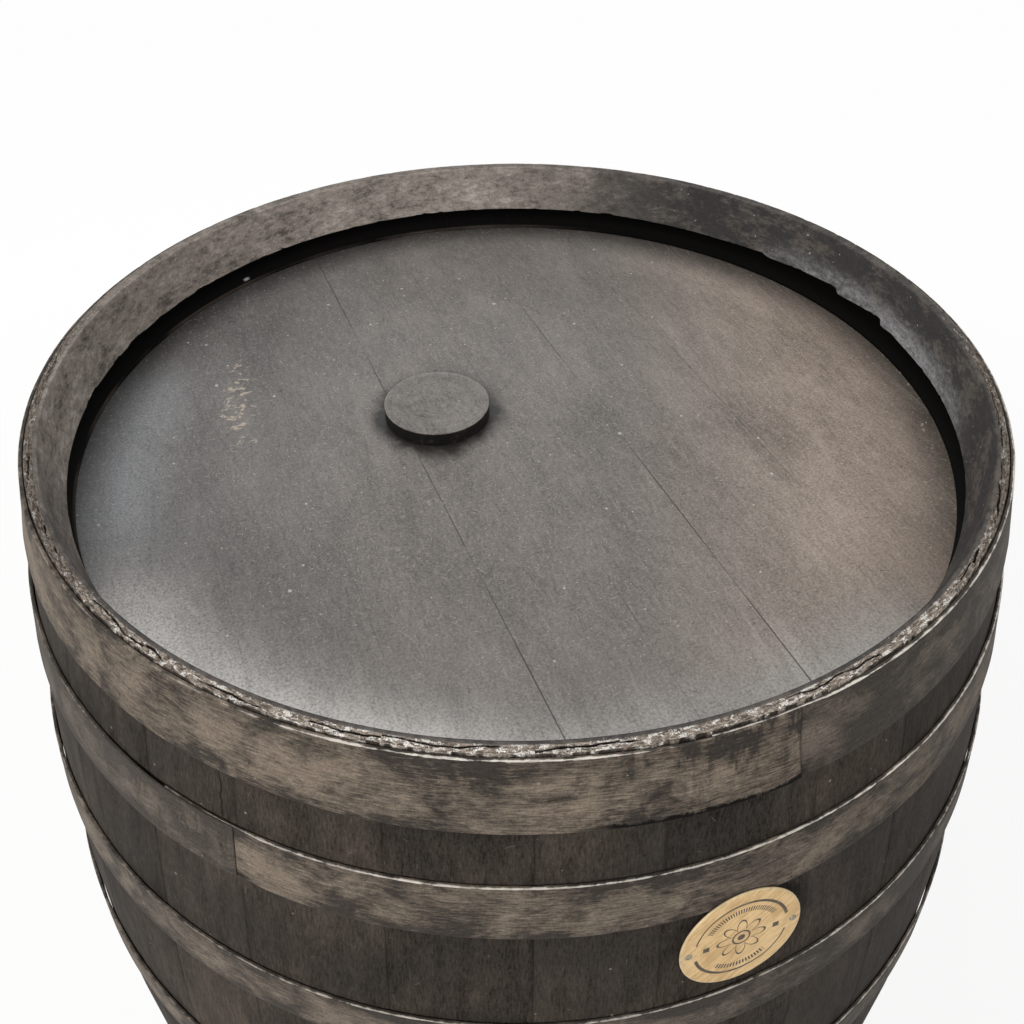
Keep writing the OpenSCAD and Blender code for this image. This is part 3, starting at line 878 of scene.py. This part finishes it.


# grey paint on the heads: fine grit, specks, scratches, chips, dust with a painted sheen along the front and
# grime with painted shade at the bung
def headPaint():
    look = headLook
    finish, place, shader = newFinish("headPaint", 0.45, 0.2)
    x, y, z = parts(place)
    rightX, rightY = look["right"]
    right, ahead = x * rightX + y * rightY, x * rightY - y * rightX
    far, turn, top = distance(x, y), azimuth(x, y), ease(z, 0.4, 0.5)

    # 1 in a sector about an azimuth, 0 beyond it
    def sector(at, inner, outer):
        return ease(facing(turn, at), math.cos(math.radians(outer)), math.cos(math.radians(inner)))

    combed = squeezed(place, (1.0, 0.3, 1.0))
    grit = cloud(place, 700.0, 3.0, 0.75)
    lint = cloud(combed, 330.0, 4.0, 0.7, 0.9)
    drift = cloud(place, 8.0, 4.0, 0.55)
    smear = cloud(combed, 30.0, 5.0, 0.65, 0.8)
    colour = mixed(ease(right, -0.05, -0.2), *look["grey"])
    colour = mixed(ease(right, 0.05, 0.25), colour, look["brown"])
    level = swing(grit, 2.0) + swing(lint, 1.1) + swing(drift, 0.7) + swing(smear, 0.9) + 1.0
    # painted light: the head grows lighter towards the front
    level = level + ease(ahead, 0.13, 0.25) * 0.4
    colour = shaded(colour, level.calc("MAXIMUM", 0.45))

    # dust and painted sheen: a thick pale drift front left, a thinner one along the front; a painted bluish
    # reflection of the sky on the left
    rim = ease(far + swing(smear, 0.03), 0.195, 0.274) ** 2.0
    fleck = swing(grit, 2.8) + swing(lint, 0.7) + 0.9
    dustAndSheen = sum(sector(*at) * share for *at, share in look["dustAndSheenSectors"]) * rim * top * fleck
    colour = mixed(capped(dustAndSheen * 0.85), colour, look["dustAndSheen"])
    # painted reflection: a bluish band along the left edge
    skyReflection = sector(*look["skyReflectionSector"]) * ease(far + swing(smear, 0.04), 0.195, 0.258) * top * fleck
    colour = mixed(capped(skyReflection * 0.75), colour, look["skyReflection"])

    # grime and painted shade along the edge, lint, and grime with painted shade round the bung's foot
    edge = ease(far + swing(drift, 0.02), 0.236, 0.272) * (1.0 - sector(*look["cleanSector"]))
    colour = mixed(capped(edge * 0.75), colour, look["edge"])
    dots = sum(specks(shifted(place, by), *rest) * share for by, *rest, share in look["specks"])
    lines = sum(strokes(shifted(place, by), *rest) * share for by, *rest, share in look["lint"])
    rubbed = ease(cloud(squeezed(place, (1.0, 0.014, 1.0)), 560.0, 2.0), 0.6, 0.68) * ease(right, -0.02, 0.2)
    colour = mixed(capped(dots * 0.9 + lines * 0.38 + rubbed * 0.14), colour, look["speck"])
    # painted shade round the bung's foot, with grime
    off = distance(*parts(shifted(place, tuple(-bungSpot)))[:2])
    foot = ease(off + swing(drift, 0.008) + swing(smear, 0.012), 0.049, 0.034) * top
    broken = ease(cloud(place, 34.0, 4.0, 0.6, 0.6), 0.42, 0.58) * 0.75 + 0.25
    ring = ease(off + swing(smear, 0.04), 0.056, 0.035) * broken * top
    colour = mixed(capped(ring * 0.6 + foot * 0.75), colour, look["grime"])

    # scratches, and the joints that show through the paint
    scratch = strokes(shifted(place, (0.7, 0.5, 0.0)), 26.0, 0.006, 0.0004, 0.8) * 0.6
    lay = math.radians(heads["turn"])
    across = x * math.cos(lay) + y * math.sin(lay)
    shown = ease(cloud(place, 13.0, 3.0), 0.42, 0.6)
    for j, strength in heads["filled"].items():
        off = abs(across - heads["joints"][j] * heads["radius"] + swing(grit, 0.0006))
        scratch = scratch + ease(off, 0.0006, 0.00015) * shown * strength
    colour = mixed(capped(scratch), colour, look["scratch"])

    # chips: one field of them on the left, strays elsewhere and more at the brown edge
    at, reach, lean = look["chipField"]
    chips = place.make("ShaderNodeMapping", {"vector_type": "TEXTURE"}, {
        "Vector": place, "Location": (*at, heads["face"]), "Rotation": (0.0, 0.0, math.radians(lean)),
        "Scale": (*reach, 1.0)})
    field = ease(distance(*parts(chips)[:2]), 1.1, 0.2) * top
    flake = ease(cloud(squeezed(place, (0.8, 1.1, 1.0)), 205.0, 3.0, 0.7, 0.6) + field * 0.09, 0.61, 0.67)
    flake = flake * ease(cloud(place, 95.0, 2.0) + field * 0.2, 0.5, 0.6) * ease(field, 0.0, 0.3)
    often = ease(cloud(place, 9.0, 1.0), 0.55, 0.7) * 0.5
    often = often + sector(*look["chipSector"]) * ease(far, 0.2, 0.25) * 1.2
    stray = ease(cloud(place, 190.0, 2.0, 0.6), 0.65, 0.7) * capped(often)
    colour = mixed(capped(flake * 0.85 + stray * 0.6), colour, look["chip"])

    under = mixed(ease(lint, 0.35, 0.65), *look["under"])
    colour = mixed(ease(abs(z - midZ), 0.4185, 0.412), colour, under)
    relief = bumped(grit * 0.5 + lint * 0.3 + lines * 0.2 - rubbed * 0.15 - scratch * 0.5, 0.14 * mm)
    relief = bumped(smear, 0.6 * mm, relief)
    feed(shader, Base_Color=colour, Roughness=0.46 + swing(grit, 0.3) + dustAndSheen * 0.12, Normal=relief)
    return finish


bungLook = {
    "top": (0.151, 0.1405, 0.132),
    "rubbed": (0.36, 0.34, 0.32),
    # black paint, made darker still as painted shade
    "side": (0.007, 0.0066, 0.0062),
    "smear": (0.055, 0.048, 0.041),
    "oak": ((0.24, 0.15, 0.085), (0.36, 0.245, 0.15)),
}


# the head bung: the heads' grey on top, black paint round its side darkened further as painted shade, bare
# oak on the shank
def bungPaint():
    look = bungLook
    finish, place, shader = newFinish("bungPaint", 0.5, 0.15)
    x, y, z = parts(shifted(place, tuple(-bungSpot)))
    far = distance(x, y)
    grit = cloud(place, 620.0, 3.0, 0.75)
    lint = cloud(squeezed(place, (1.0, 0.35, 1.0)), 300.0, 4.0, 0.7, 0.9)
    drift = cloud(place, 38.0, 4.0, 0.6, 1.0)
    arcs = cloud(joined(place, far, x * 0.05, y * 0.05), 260.0, 3.0)
    level = swing(grit, 1.8) + swing(lint, 1.1) + swing(drift, 1.0) + swing(arcs, 0.7) + 1.0
    rub = ease(far, 0.0326, 0.0337) * ease(drift, 0.35, 0.5)
    rub = rub * 0.18 + specks(place, 130.0, 0.14) * 0.6
    colour = mixed(capped(rub), shaded(look["top"], level), look["rubbed"])
    # painted shade: the side's black made darker still
    black = shaded(look["side"], lint * 1.2 + 0.4)
    black = mixed(ease(lint + drift, 1.02, 1.25) * 0.7, black, look["smear"])
    colour = mixed(ease(z, bung["height"] - 0.25 * mm, bung["height"] - 1.2 * mm), colour, black)
    grain = cloud(squeezed(place, (1.0, 1.0, 0.1)), 400.0, 3.0)
    colour = mixed(ease(z, 0.0, -1.0 * mm), colour, mixed(ease(grain, 0.35, 0.65), *look["oak"]))
    relief = bumped(grit * 0.5 + lint * 0.6, 0.25 * mm)
    feed(shader, Base_Color=colour, Roughness=0.5 + swing(grit, 0.3), Normal=relief)
    return finish


# the pairs of paint are where a hoop is least and most worn
hoopLook = {
    "dark": ((0.062, 0.054, 0.0475), (0.043, 0.0375, 0.033)),
    "pale": ((0.13, 0.112, 0.096), (0.215, 0.177, 0.14)),
    "stain": (0.018, 0.016, 0.014),
    # painted shadow under the lap's gaping lower edge
    "gapShadow": (0.005, 0.0045, 0.004),
    "speck": (0.34, 0.31, 0.28),
    "steel": ((0.2, 0.175, 0.15), (0.56, 0.525, 0.48)),
    "steelGlintAt": -72.0,                           # azimuth of the painted highlight on the bare steel, in degrees
}


# brown-grey paint brushed round the hoops, blotched, and worn to bright steel along the upper edges, the
# steel brighter front right and higher up as a painted highlight
def hoopPaint():
    look = hoopLook
    finish, place, shader = newFinish("hoopPaint", 0.6, 0.04)
    x, y, z = parts(place)
    tone, across, edge = marked(place, "tone"), marked(place, "across"), marked(place, "edge")
    wear, climb, along = marked(place, "wear"), marked(place, "climb"), marked(place, "along")
    own = shifted(place, joined(place, tone * 2.3, tone * 4.1, tone * 1.9))
    brush = cloud(squeezed(own, (1.0, 1.0, 9.0)), 120.0, 5.0, 0.72, 0.5)
    blotch = cloud(squeezed(own, (1.0, 1.0, 1.5)), 21.0, 5.0, 0.62, 0.8)
    spot = cloud(own, 75.0, 4.0, 0.65, 0.6)
    fine = cloud(place, 800.0, 2.0, 0.7)

    # pale brushed patches, with drips at the lap
    pale = swing(blotch, 3.8) + swing(brush, 2.2) * (wear * 0.6 + 0.4) + swing(spot, 1.3)
    pale = pale + ease(abs(across - 0.45), 0.5, 0.15) * 0.4 + ease(along, 0.07, 0.03) * 0.05
    drip = ease(cloud(squeezed(own, (1.0, 1.0, 0.05)), 190.0, 3.0, 0.6), 0.42, 0.72)
    drip = drip * climb * ease(across + blotch, 0.5, 1.2)
    pale = capped(pale + wear * 0.4 - 0.14 - drip * 0.9)
    colour = mixed(pale, mixed(wear, *look["dark"]), mixed(wear, *look["pale"]))
    colour = shaded(colour, swing(brush, 1.6) + swing(fine, 1.2) + 1.0)

    # stains along both edges, dark lines of painted shade at the lap's step, and a ragged painted shadow
    # under the gaping edge
    stain = ease(spot + swing(blotch, 0.8), 0.6, 0.74) * ease(abs(across - 0.5), 0.1, 0.4)
    # painted shade: dark lines at the lap's step
    lines = ease(along, 0.9996, 0.9999) * 0.4 + ease(along, 0.027, 0.023) * ease(across, 0.12, 0.06)
    colour = mixed(capped(stain * 0.7 + lines), colour, look["stain"])
    # painted shadow: a ragged black strip under the gaping edge
    gapShadow = ease(across + swing(spot, 0.3), 0.085, 0.04) * ease(marked(place, "gape"), 0.02, 0.25)
    colour = mixed(gapShadow, colour, look["gapShadow"])
    colour = mixed(capped(specks(place, 110.0, 0.12) * 0.5), colour, look["speck"])

    # painted highlight: bare steel brighter front right and higher up
    steelGlint = ease(facing(azimuth(x, y), look["steelGlintAt"]), 0.2, 0.8) * (ease(z, 0.74, 0.86) * 0.5 + 0.5)
    bare = ease(edge + swing(spot, 1.7) + swing(brush, 1.0) + steelGlint * 0.2 - climb * 0.5, 0.8, 1.02)
    steel = shaded(mixed(steelGlint, *look["steel"]), ease(brush, 0.34, 0.6) * 0.6 + 0.4)
    colour = mixed(bare, colour, steel)
    relief = bumped(brush * 0.6 + spot * 0.6 + fine * 0.12, 0.3 * mm)
    feed(shader, Base_Color=colour, Roughness=0.6 - bare * 0.15 + swing(brush, 0.3),
         Metallic=bare * 0.25, Normal=relief)
    return finish


oakLook = {"grain": ((0.27, 0.165, 0.09), (0.46, 0.31, 0.18))}


# bare oak with its pores, for the dowels
def bareOak():
    finish, place, shader = newFinish("bareOak", 0.7, 0.3)
    grain = cloud(squeezed(place, (0.06, 1.0, 1.0)), 620.0, 4.0, 0.65)
    broad = cloud(squeezed(place, (0.2, 1.0, 1.0)), 120.0, 3.0)
    colour = mixed(ease(grain * 0.6 + broad * 0.4, 0.36, 0.64), *oakLook["grain"])
    feed(shader, Base_Color=colour, Roughness=0.6 + grain * 0.2, Normal=bumped(grain, 0.25 * mm))
    return finish


badgeLook = {
    "brass": ((0.58, 0.375, 0.165), (0.82, 0.6, 0.32)),
    "ink": (0.03, 0.025, 0.021),
    "rubbed": (0.68, 0.56, 0.38),
    "grime": (0.2, 0.13, 0.07),
    # the print in mm: radius of the arcs, half their least width and how much they widen
    "arcs": (25.2, 0.42, 0.45),
    # ticks to a radian, half width, radius, half length, and the sines where a row fades in
    "ticks": ((15.0, 0.24, 20.4, 1.6, 0.5, 0.55), (12.0, 0.28, 20.6, 1.5, -0.75, -0.8)),
    "petals": (4.0, 7.0, 6.0, 0.6),             # half their number, length, start and half width
    "eye": (4.6, 0.5, 2.2),                     # radius and half width of the ring, radius of the dot
    "squares": (19.0, 1.7),                     # distance and half width
}


# brushed brass with a worn dark print: two arcs, two rows of ticks, two squares and a rosette
def badgeMetal():
    look = badgeLook
    finish, place, shader = newFinish("badgeMetal", 0.5, 0.3)
    local = place.make("ShaderNodeMapping", {"vector_type": "TEXTURE"}, {
        "Vector": place, "Location": tuple(badgeSpot), "Rotation": tuple(badgeTurn)})
    x, y, z = parts(local)
    far, turn = distance(x, y) / mm, azimuth(x, y)
    slant = joined(place, x * 0.8 + y * 0.6, y * 0.8 - x * 0.6, z)
    brush = cloud(squeezed(slant, (0.1, 1.0, 1.0)), 750.0, 4.0, 0.7)
    blot = cloud(local, 80.0, 4.0, 0.6)
    fine = cloud(local, 1400.0, 2.0, 0.6)

    def band(value, middle, half, soft=0.15):
        return ease(abs(value - middle), half + soft, half - soft)

    radius, thin, swell = look["arcs"]
    wide = ease(cosine(turn) * sine(turn).calc("SIGN"), -1.0, 1.0) * swell + thin
    ink = ease(abs(far - radius) / wide, 1.2, 0.8) * ease(abs(sine(turn)), 0.2, 0.26)
    for count, half, at, long, fadeIn, full in look["ticks"]:
        row = band((turn * count).calc("FRACT"), 0.5, half, 0.06)
        ink = ink + row * band(far, at, long) * ease(sine(turn), fadeIn, full)
    count, long, start, half = look["petals"]
    ink = ink + band(far - (abs(cosine(turn * count)) * long + start), 0.0, half)
    ring, half, dot = look["eye"]
    ink = ink + band(far, ring, half) + ease(far, dot, dot - 0.3)
    at, half = look["squares"]
    ink = ink + band(abs(x) / mm, at, half, 0.25) * band(y / mm, 0.0, half, 0.25)
    ink = capped(ink) * (ease(blot + swing(fine, 0.5), 0.32, 0.46) * 0.2 + 0.8)

    colour = mixed(ease(brush * 0.6 + blot * 0.4, 0.38, 0.62), *look["brass"])
    colour = mixed(ink * 0.95, colour, look["ink"])
    colour = mixed(ease(far, 31.8, 32.8) * 0.6, colour, look["rubbed"])
    colour = mixed(ease(far, 28.0, 33.0) * ease(blot, 0.55, 0.7) * 0.4, colour, look["grime"])
    relief = bumped(brush * 0.5 + fine * 0.2 - ink * 0.6 + blot * 0.4, 0.12 * mm)
    feed(shader, Base_Color=colour, Roughness=0.5 + swing(brush, 0.3),
         Metallic=(1.0 - ink) * 0.15, Normal=relief)
    return finish


nailLook = {"steel": ((0.2, 0.165, 0.125), (0.42, 0.37, 0.3))}


# dull steel of the badge's nails
def nailSteel():
    finish, place, shader = newFinish("nailSteel", 0.4, 0.5)
    wear = cloud(place, 700.0, 3.0, 0.6)
    colour = mixed(ease(wear, 0.4, 0.65), *nailLook["steel"])
    feed(shader, Base_Color=colour, Roughness=0.3 + wear * 0.3, Metallic=ease(wear, 0.3, 0.5) * 0.7,
         Normal=bumped(wear, 0.1 * mm))
    return finish


finishes = {
    "stave": stavePaint(), "head": headPaint(), "bung": bungPaint(), "hoop": hoopPaint(),
    "oak": bareOak(), "badge": badgeMetal(), "nail": nailSteel(),
}
print("finishes:", len(finishes))


# bores a bung's tapered hole, of a radius at its seat and a depth below it
def bore(piece, radius, deep, place, finish):
    spare = bung["spare"]
    form = turned([(0.0, spare), (radius + bung["taper"] * spare, spare),
                   (radius - bung["taper"] * deep, -deep), (0.0, -deep)], bung["holeSides"])
    form.transform(place)
    cutOut(piece, newPiece("holeCutter", form, finish))


# staves, one sweep each, the bung stave with its tapered hole
def raiseStaves():
    outline, tree = staveOutline(), staveTree()
    unit = 2 * math.pi / sum(staveShare(k) for k in range(staves["count"]))
    at = -math.pi / 2 - unit * staveShare(0) / 2
    joint = staves["jointGap"] / cask["endRadius"]
    for k in range(staves["count"]):
        wide = unit * staveShare(k)
        name = "bung_stave" if k == staves["bungStave"] else "stave_%02d" % (k + 1)
        piece = grow("painted_" + name, outline.copy(), tree, {
            "Middle": at + wide / 2, "Sweep": wide - joint, "Columns": staves["columns"],
            "Fray": staves["frayDeep"], "Chips": staves["footChips"], "Groove": staves["grooveDeep"],
            "Groove Width": staves["grooveWide"], "Seed": float(k), "Tone": (k * 0.618) % 1.0,
            "Material": finishes["stave"]})
        if k == staves["bungStave"]:
            bore(piece, bilgeBung["hole"], bilgeBung["holeDeep"], bilgePlace, finishes["oak"])
        settle(piece, "cask", "stave_paint", name)
        at += wide
    print("staves:", staves["count"], "with", len(piece.data.vertices), "points each")


# hoops at both ends, the lower ones mirrored, and a pair of rivets through each lap
def raiseHoops():
    tree, rivetShape = hoopTree(), rivetTree()
    spots, facings, tones, wears = [], [], [], []
    for endName, flip in (("upper", 1.0), ("lower", -1.0)):
        for k, (name, (depth, wide, lapAt, narrow, wearIn, wearOut)) in enumerate(hoops["bands"].items()):
            middle, outline = strapOutline(depth, wide)
            lap = hoops["lap"] / faceRadius(depth + wide / 2)
            lapMiddle = math.radians(lapAt + (hoops["lowerTurn"] if flip < 0 else 0.0))
            z = midZ + flip * (midZ - depth - wide / 2)
            tone = (k * 0.37 + 0.21 + (flip < 0) * 0.5) % 1.0
            piece = grow("painted_%s_%s" % (endName, name), outline, tree, {
                "Radius": middle, "Start": lapMiddle - lap / 2, "Turn": 2 * math.pi + lap, "Lap": lap,
                "Ramp": hoops["ramp"] / middle, "Columns": hoops["columns"], "Thick": hoops["thick"],
                "Lift": hoops["lift"], "Wear Inner": wearIn, "Wear Outer": wearOut, "Narrow": narrow,
                "Nick": hoops["nick"], "Dent": hoops["dent"], "Wave": hoops["wave"], "Tip": hoops["tipThin"],
                "Seed": k + 5.0 * (flip < 0), "Height": z, "Flip": flip, "Tone": tone,
                "Material": finishes["hoop"]})
            if flip < 0:
                piece.data.flip_normals()
            settle(piece, "cask", "hoop_paint", "%s_%s" % (endName, name))
            lean = math.atan2(faceRadius(depth + wide) - faceRadius(depth), wide)
            for side in (-1, 1):
                turn = lapMiddle + side * lap / 4
                out = Vector((
                    math.cos(turn) * math.cos(lean), math.sin(turn) * math.cos(lean), flip * math.sin(lean)))
                ground = Vector((middle * math.cos(turn), middle * math.sin(turn), z))
                spots.append(ground + out * (hoops["thick"] + hoops["lift"] + rivets["over"]))
                facings.append(out)
                tones.append(tone)
                wears.append(wearOut)
    points = bpy.data.meshes.new("rivetPoints")
    points.from_pydata(spots, [], [])
    layer = points.attributes.new("facing", "FLOAT_VECTOR", "POINT")
    layer.data.foreach_set("vector", [v for out in facings for v in out])
    markPoints(points, {"tone": tones, "wear": wears})
    rivetHeads = grow("painted_rivets", points, rivetShape, {
        "Radius": rivets["radius"], "Proud": rivets["proud"], "Flat": rivets["flat"], "Dent": rivets["dent"],
        "Material": finishes["hoop"]})
    settle(rivetHeads, "cask", "hoop_paint", "hoop_rivets")
    print("hoops:", 2 * len(hoops["bands"]), "and", len(spots), "rivets")


def raiseHeads():
    place = Matrix.Translation((0.0, 0.0, heads["face"])) @ headTurn
    over = Matrix.Translation((0.0, 0.0, cask["height"])) @ Matrix.Diagonal((1.0, 1.0, -1.0, 1.0))
    for endName in ("upper", "lower"):
        for j in range(len(heads["joints"]) - 1):
            form = headBoard(j)
            form.transform(place if endName == "upper" else over @ place)
            if endName == "lower":
                bmesh.ops.reverse_faces(form, faces=form.faces)
            name = "%s_head_board_%d" % (endName, j + 1)
            piece = newPiece("painted_" + name, form, finishes["head"])
            if name == bung["board"]:
                through = heads["thick"] + bung["spare"]
                bore(piece, bung["hole"], through, Matrix.Translation(bungSpot), finishes["head"])
            settle(piece, "cask", "head_paint", name)
    for name in ("upper_head_dowels", "lower_head_dowels"):
        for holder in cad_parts[name].material_slots:
            holder.material = finishes["oak"]


def raiseBungs():
    r, h = bung["radius"], bung["height"]
    neck = bung["hole"] - bung["gap"]
    tip = neck - bung["taper"] * bung["shank"]
    outline = [(0.0, h)] + [(v * mm, h) for v in bung["topRows"]]
    outline += [(r - 0.55 * mm, h), (r - 0.22 * mm, h - 0.08 * mm), (r - 0.04 * mm, h - 0.3 * mm)]
    outline += [(r, h - 0.8 * mm)] + [(r, h * share) for share in bung["sideRows"]]
    outline += [(r - 0.3 * mm, 0.0), (neck + 2 * mm, 0.0), (neck, -0.5 * mm)]
    outline += [(neck - (neck - tip) * share, -bung["shank"] * share) for share in bung["shankRows"]]
    outline += [(tip - 1 * mm, -bung["shank"]), (tip * 0.5, -bung["shank"]), (0.0, -bung["shank"])]
    form = turned(outline, bung["sides"])
    often, deep = bung["pinch"]
    for vert in form.verts:
        if vert.co.z > 0.1 * mm:
            reach = math.hypot(vert.co.x, vert.co.y)
            uneven = sum(noise.noise(vert.co * scale) * low for scale, low in bung["uneven"])
            vert.co.z -= max(0.0, uneven + 0.05 * mm) * min(1.0, vert.co.z / h)
            if reach > r - 1.5 * mm:
                pinch = max(0.0, noise.noise(Vector((vert.co.x, vert.co.y, 3.0)) * often)) * deep
                vert.co.x -= vert.co.x / reach * pinch
                vert.co.y -= vert.co.y / reach * pinch
    form.transform(Matrix.Translation(bungSpot))
    piece = newPiece("painted_head_bung", form, finishes["bung"], sharp=34)
    settle(piece, "head_bung", "head_paint", "head_bung")

    wide, long = bilgeBung["hole"] - bung["gap"], bilgeBung["length"]
    end = wide - bung["taper"] * long
    dish = bilgeBung["dish"]
    outline = [(0.0, -dish)] + [(wide * share, -dish * (1 - share)) for share in bilgeBung["faceRows"]]
    outline += [(wide - 1.2 * mm, 0.0), (wide - 0.5 * mm, -0.12 * mm), (wide - 0.15 * mm, -0.45 * mm)]
    outline += [(wide - bung["taper"] * long * share, -long * share) for share in bilgeBung["shankRows"]]
    outline += [(end - 1.2 * mm, -long), (end * 0.5, -long), (0.0, -long)]
    form = turned(outline, bilgeBung["sides"])
    often, deep = bilgeBung["uneven"]
    for vert in form.verts:
        if vert.co.z > -2 * mm:
            vert.co.z -= max(0.0, noise.noise(vert.co * often)) * deep
    form.transform(bilgePlace)
    piece = newPiece("painted_bilge_bung", form, finishes["stave"], sharp=34)
    shows = [float(v.co.y > cask["bilgeRadius"] - bilgeBung["painted"]) for v in piece.data.vertices]
    markPoints(piece.data, {"outer": shows, "inside": [1.0 - v for v in shows], "tone": [1.0] * len(shows)})
    settle(piece, "bilge_bung", "stave_paint", "bilge_bung")
    print("bungs: head and bilge")


def raiseBadge():
    r, t, off = badge["radius"], badge["thick"], badge["off"]
    outline = [(0.0, t)] + [(r * share, t) for share in badge["faceRows"]]
    outline += [(r - 0.5 * mm, t - 0.03 * mm), (r - 0.15 * mm, t - 0.2 * mm), (r, t - 0.5 * mm)]
    outline += [(r, 0.3 * mm), (r - 0.2 * mm, 0.05 * mm), (r * 0.9, 0.0), (r * 0.5, 0.0), (0.0, 0.0)]
    form = turned(outline, badge["sides"])
    often, deep = badge["uneven"]
    for vert in form.verts:
        reach = math.hypot(vert.co.x, vert.co.y) / r
        vert.co.z += off - reach ** 3 * badge["bend"] + noise.noise(vert.co * often) * deep * (reach < 0.97)
    form.transform(badgePlace)
    piece = newPiece("brass_badge", form, finishes["badge"], sharp=40)
    settle(piece, "cask", "badge_metal", "badge")

    form = bmesh.new()
    n, p = badge["nailHead"], badge["nailProud"]
    base = off + t - 0.02 * mm
    shank, long = badge["nailShank"], badge["nailLong"]
    outline = [(0.0, base + p)] + [(n * wide, base + p * high) for wide, high in badge["nailDome"]]
    outline += [(n * 0.97, base), (shank, base), (shank, base - long * 0.7), (0.0, base - long)]
    for side in (-1, 1):
        nail = turned(outline, badge["nailSides"])
        nail.transform(badgePlace @ Matrix.Translation((side * badge["nailAt"], 0.0, 0.0)))
        spare = bpy.data.meshes.new("nail")
        nail.to_mesh(spare)
        nail.free()
        form.from_mesh(spare)
        bpy.data.meshes.remove(spare)
    piece = newPiece("steel_badge_nails", form, finishes["nail"], sharp=40)
    settle(piece, "cask", "nail_steel", "badge_nails")
    print("badge and its nails")


raiseStaves()
raiseHoops()
raiseHeads()
raiseBungs()
raiseBadge()

studio = {
    "ambient": (0.075, 0.075, 0.077),
    "white": (1.0, 1.0, 1.0),
    "floor": (0.28, 0.28, 0.28),
    "floorSeen": (0.95, 0.95, 0.95),
    "floorRadius": 12.0,
    # share of plain white that the camera sees on the floor, near and far off, and between which distances
    "floorWhite": (0.86, 0.985),
    "floorFade": (0.7, 2.2),
    # place, aim, size, spread, power and colour of each soft lamp
    "lamps": {
        "overhead": ((0.1, 0.2, 3.1), (0.0, 0.0, 0.85), 2.2, 180, 11.8, (1.0, 0.985, 0.96)),
        "backLeft": ((-0.9, 1.1, 2.9), (0.0, 0.0, 0.85), 1.8, 180, 25.0, (1.0, 0.99, 0.97)),
        "frontLeft": ((-1.7, -1.5, 1.7), (0.0, 0.0, 0.8), 1.6, 180, 50.0, (1.0, 0.975, 0.94)),
        "back": ((0.6, 2.2, 1.2), (0.0, 0.0, 0.6), 1.4, 180, 22.0, (1.0, 0.985, 0.96)),
        "right": ((1.5, -1.0, 2.3), (0.15, -0.1, 1.05), 0.8, 40, 1.2, (1.0, 0.985, 0.96)),
    },
}


def raiseStudio():
    world = bpy.data.worlds.new("studio")
    scene.world = world
    world.use_nodes = True
    start = Tap(world.node_tree)

    def seen(start):
        rays = ("Is Camera Ray", "Is Glossy Ray", "Is Transmission Ray")
        return capped(sum(start.make("ShaderNodeLightPath", {}, {}, rays)))

    back = world.node_tree.nodes["Background"]
    sky = mixed(seen(start), studio["ambient"], studio["white"])
    start.tree.links.new(sky.socket, back.inputs["Color"])

    form = bmesh.new()
    bmesh.ops.create_circle(form, cap_ends=True, segments=96, radius=studio["floorRadius"])
    mesh = bpy.data.meshes.new("floor")
    form.to_mesh(mesh)
    form.free()
    floor = bpy.data.objects.new("floor", mesh)
    scene.collection.objects.link(floor)
    paper = bpy.data.materials.new("floorPaper")
    paper.use_nodes = True
    tree = paper.node_tree
    tree.nodes.remove(tree.nodes["Principled BSDF"])
    start = Tap(tree)
    matt = start.make("ShaderNodeBsdfDiffuse", {}, {"Color": solid(studio["floor"])})
    pale = start.make("ShaderNodeBsdfDiffuse", {}, {"Color": solid(studio["floorSeen"])})
    glow = start.make("ShaderNodeEmission", {}, {"Color": solid(studio["white"]), "Strength": 1.0})
    x, y, z = parts(start.make("ShaderNodeTexCoord", {}, {}, "Object"))
    near, off = studio["floorWhite"]
    white = ease(distance(x, y), *studio["floorFade"]) * (off - near) + near
    shown = start.make("ShaderNodeMixShader", {}, {0: white, 1: pale, 2: glow})
    surface = start.make("ShaderNodeMixShader", {}, {0: seen(start), 1: matt, 2: shown})
    tree.links.new(surface.socket, tree.nodes["Material Output"].inputs["Surface"])
    mesh.materials.append(paper)

    for name, (place, aim, size, spread, power, colour) in studio["lamps"].items():
        light = bpy.data.lights.new(name, "AREA")
        light.shape, light.size, light.energy, light.color = "DISK", size, power, colour
        light.spread = math.radians(spread)
        lamp = bpy.data.objects.new(name, light)
        lamp.location = place
        lamp.rotation_euler = (Vector(aim) - Vector(place)).to_track_quat("-Z", "Y").to_euler()
        scene.collection.objects.link(lamp)
    print("studio:", len(studio["lamps"]), "lamps")


camera = {
    "place": (-0.1770, -0.4811, 1.2918),
    "tilt": (47.43, 0.0, -19.93),
    "lens": 34.846,
    "sensor": 36.0,
    "clip": (0.01, 100.0),
}


def raiseCamera():
    lens = bpy.data.cameras.new("camera")
    lens.lens, lens.sensor_width = camera["lens"], camera["sensor"]
    lens.clip_start, lens.clip_end = camera["clip"]
    eye = bpy.data.objects.new("camera", lens)
    eye.location = camera["place"]
    eye.rotation_euler = [math.radians(v) for v in camera["tilt"]]
    scene.collection.objects.link(eye)
    scene.camera = eye


raiseStudio()
raiseCamera()
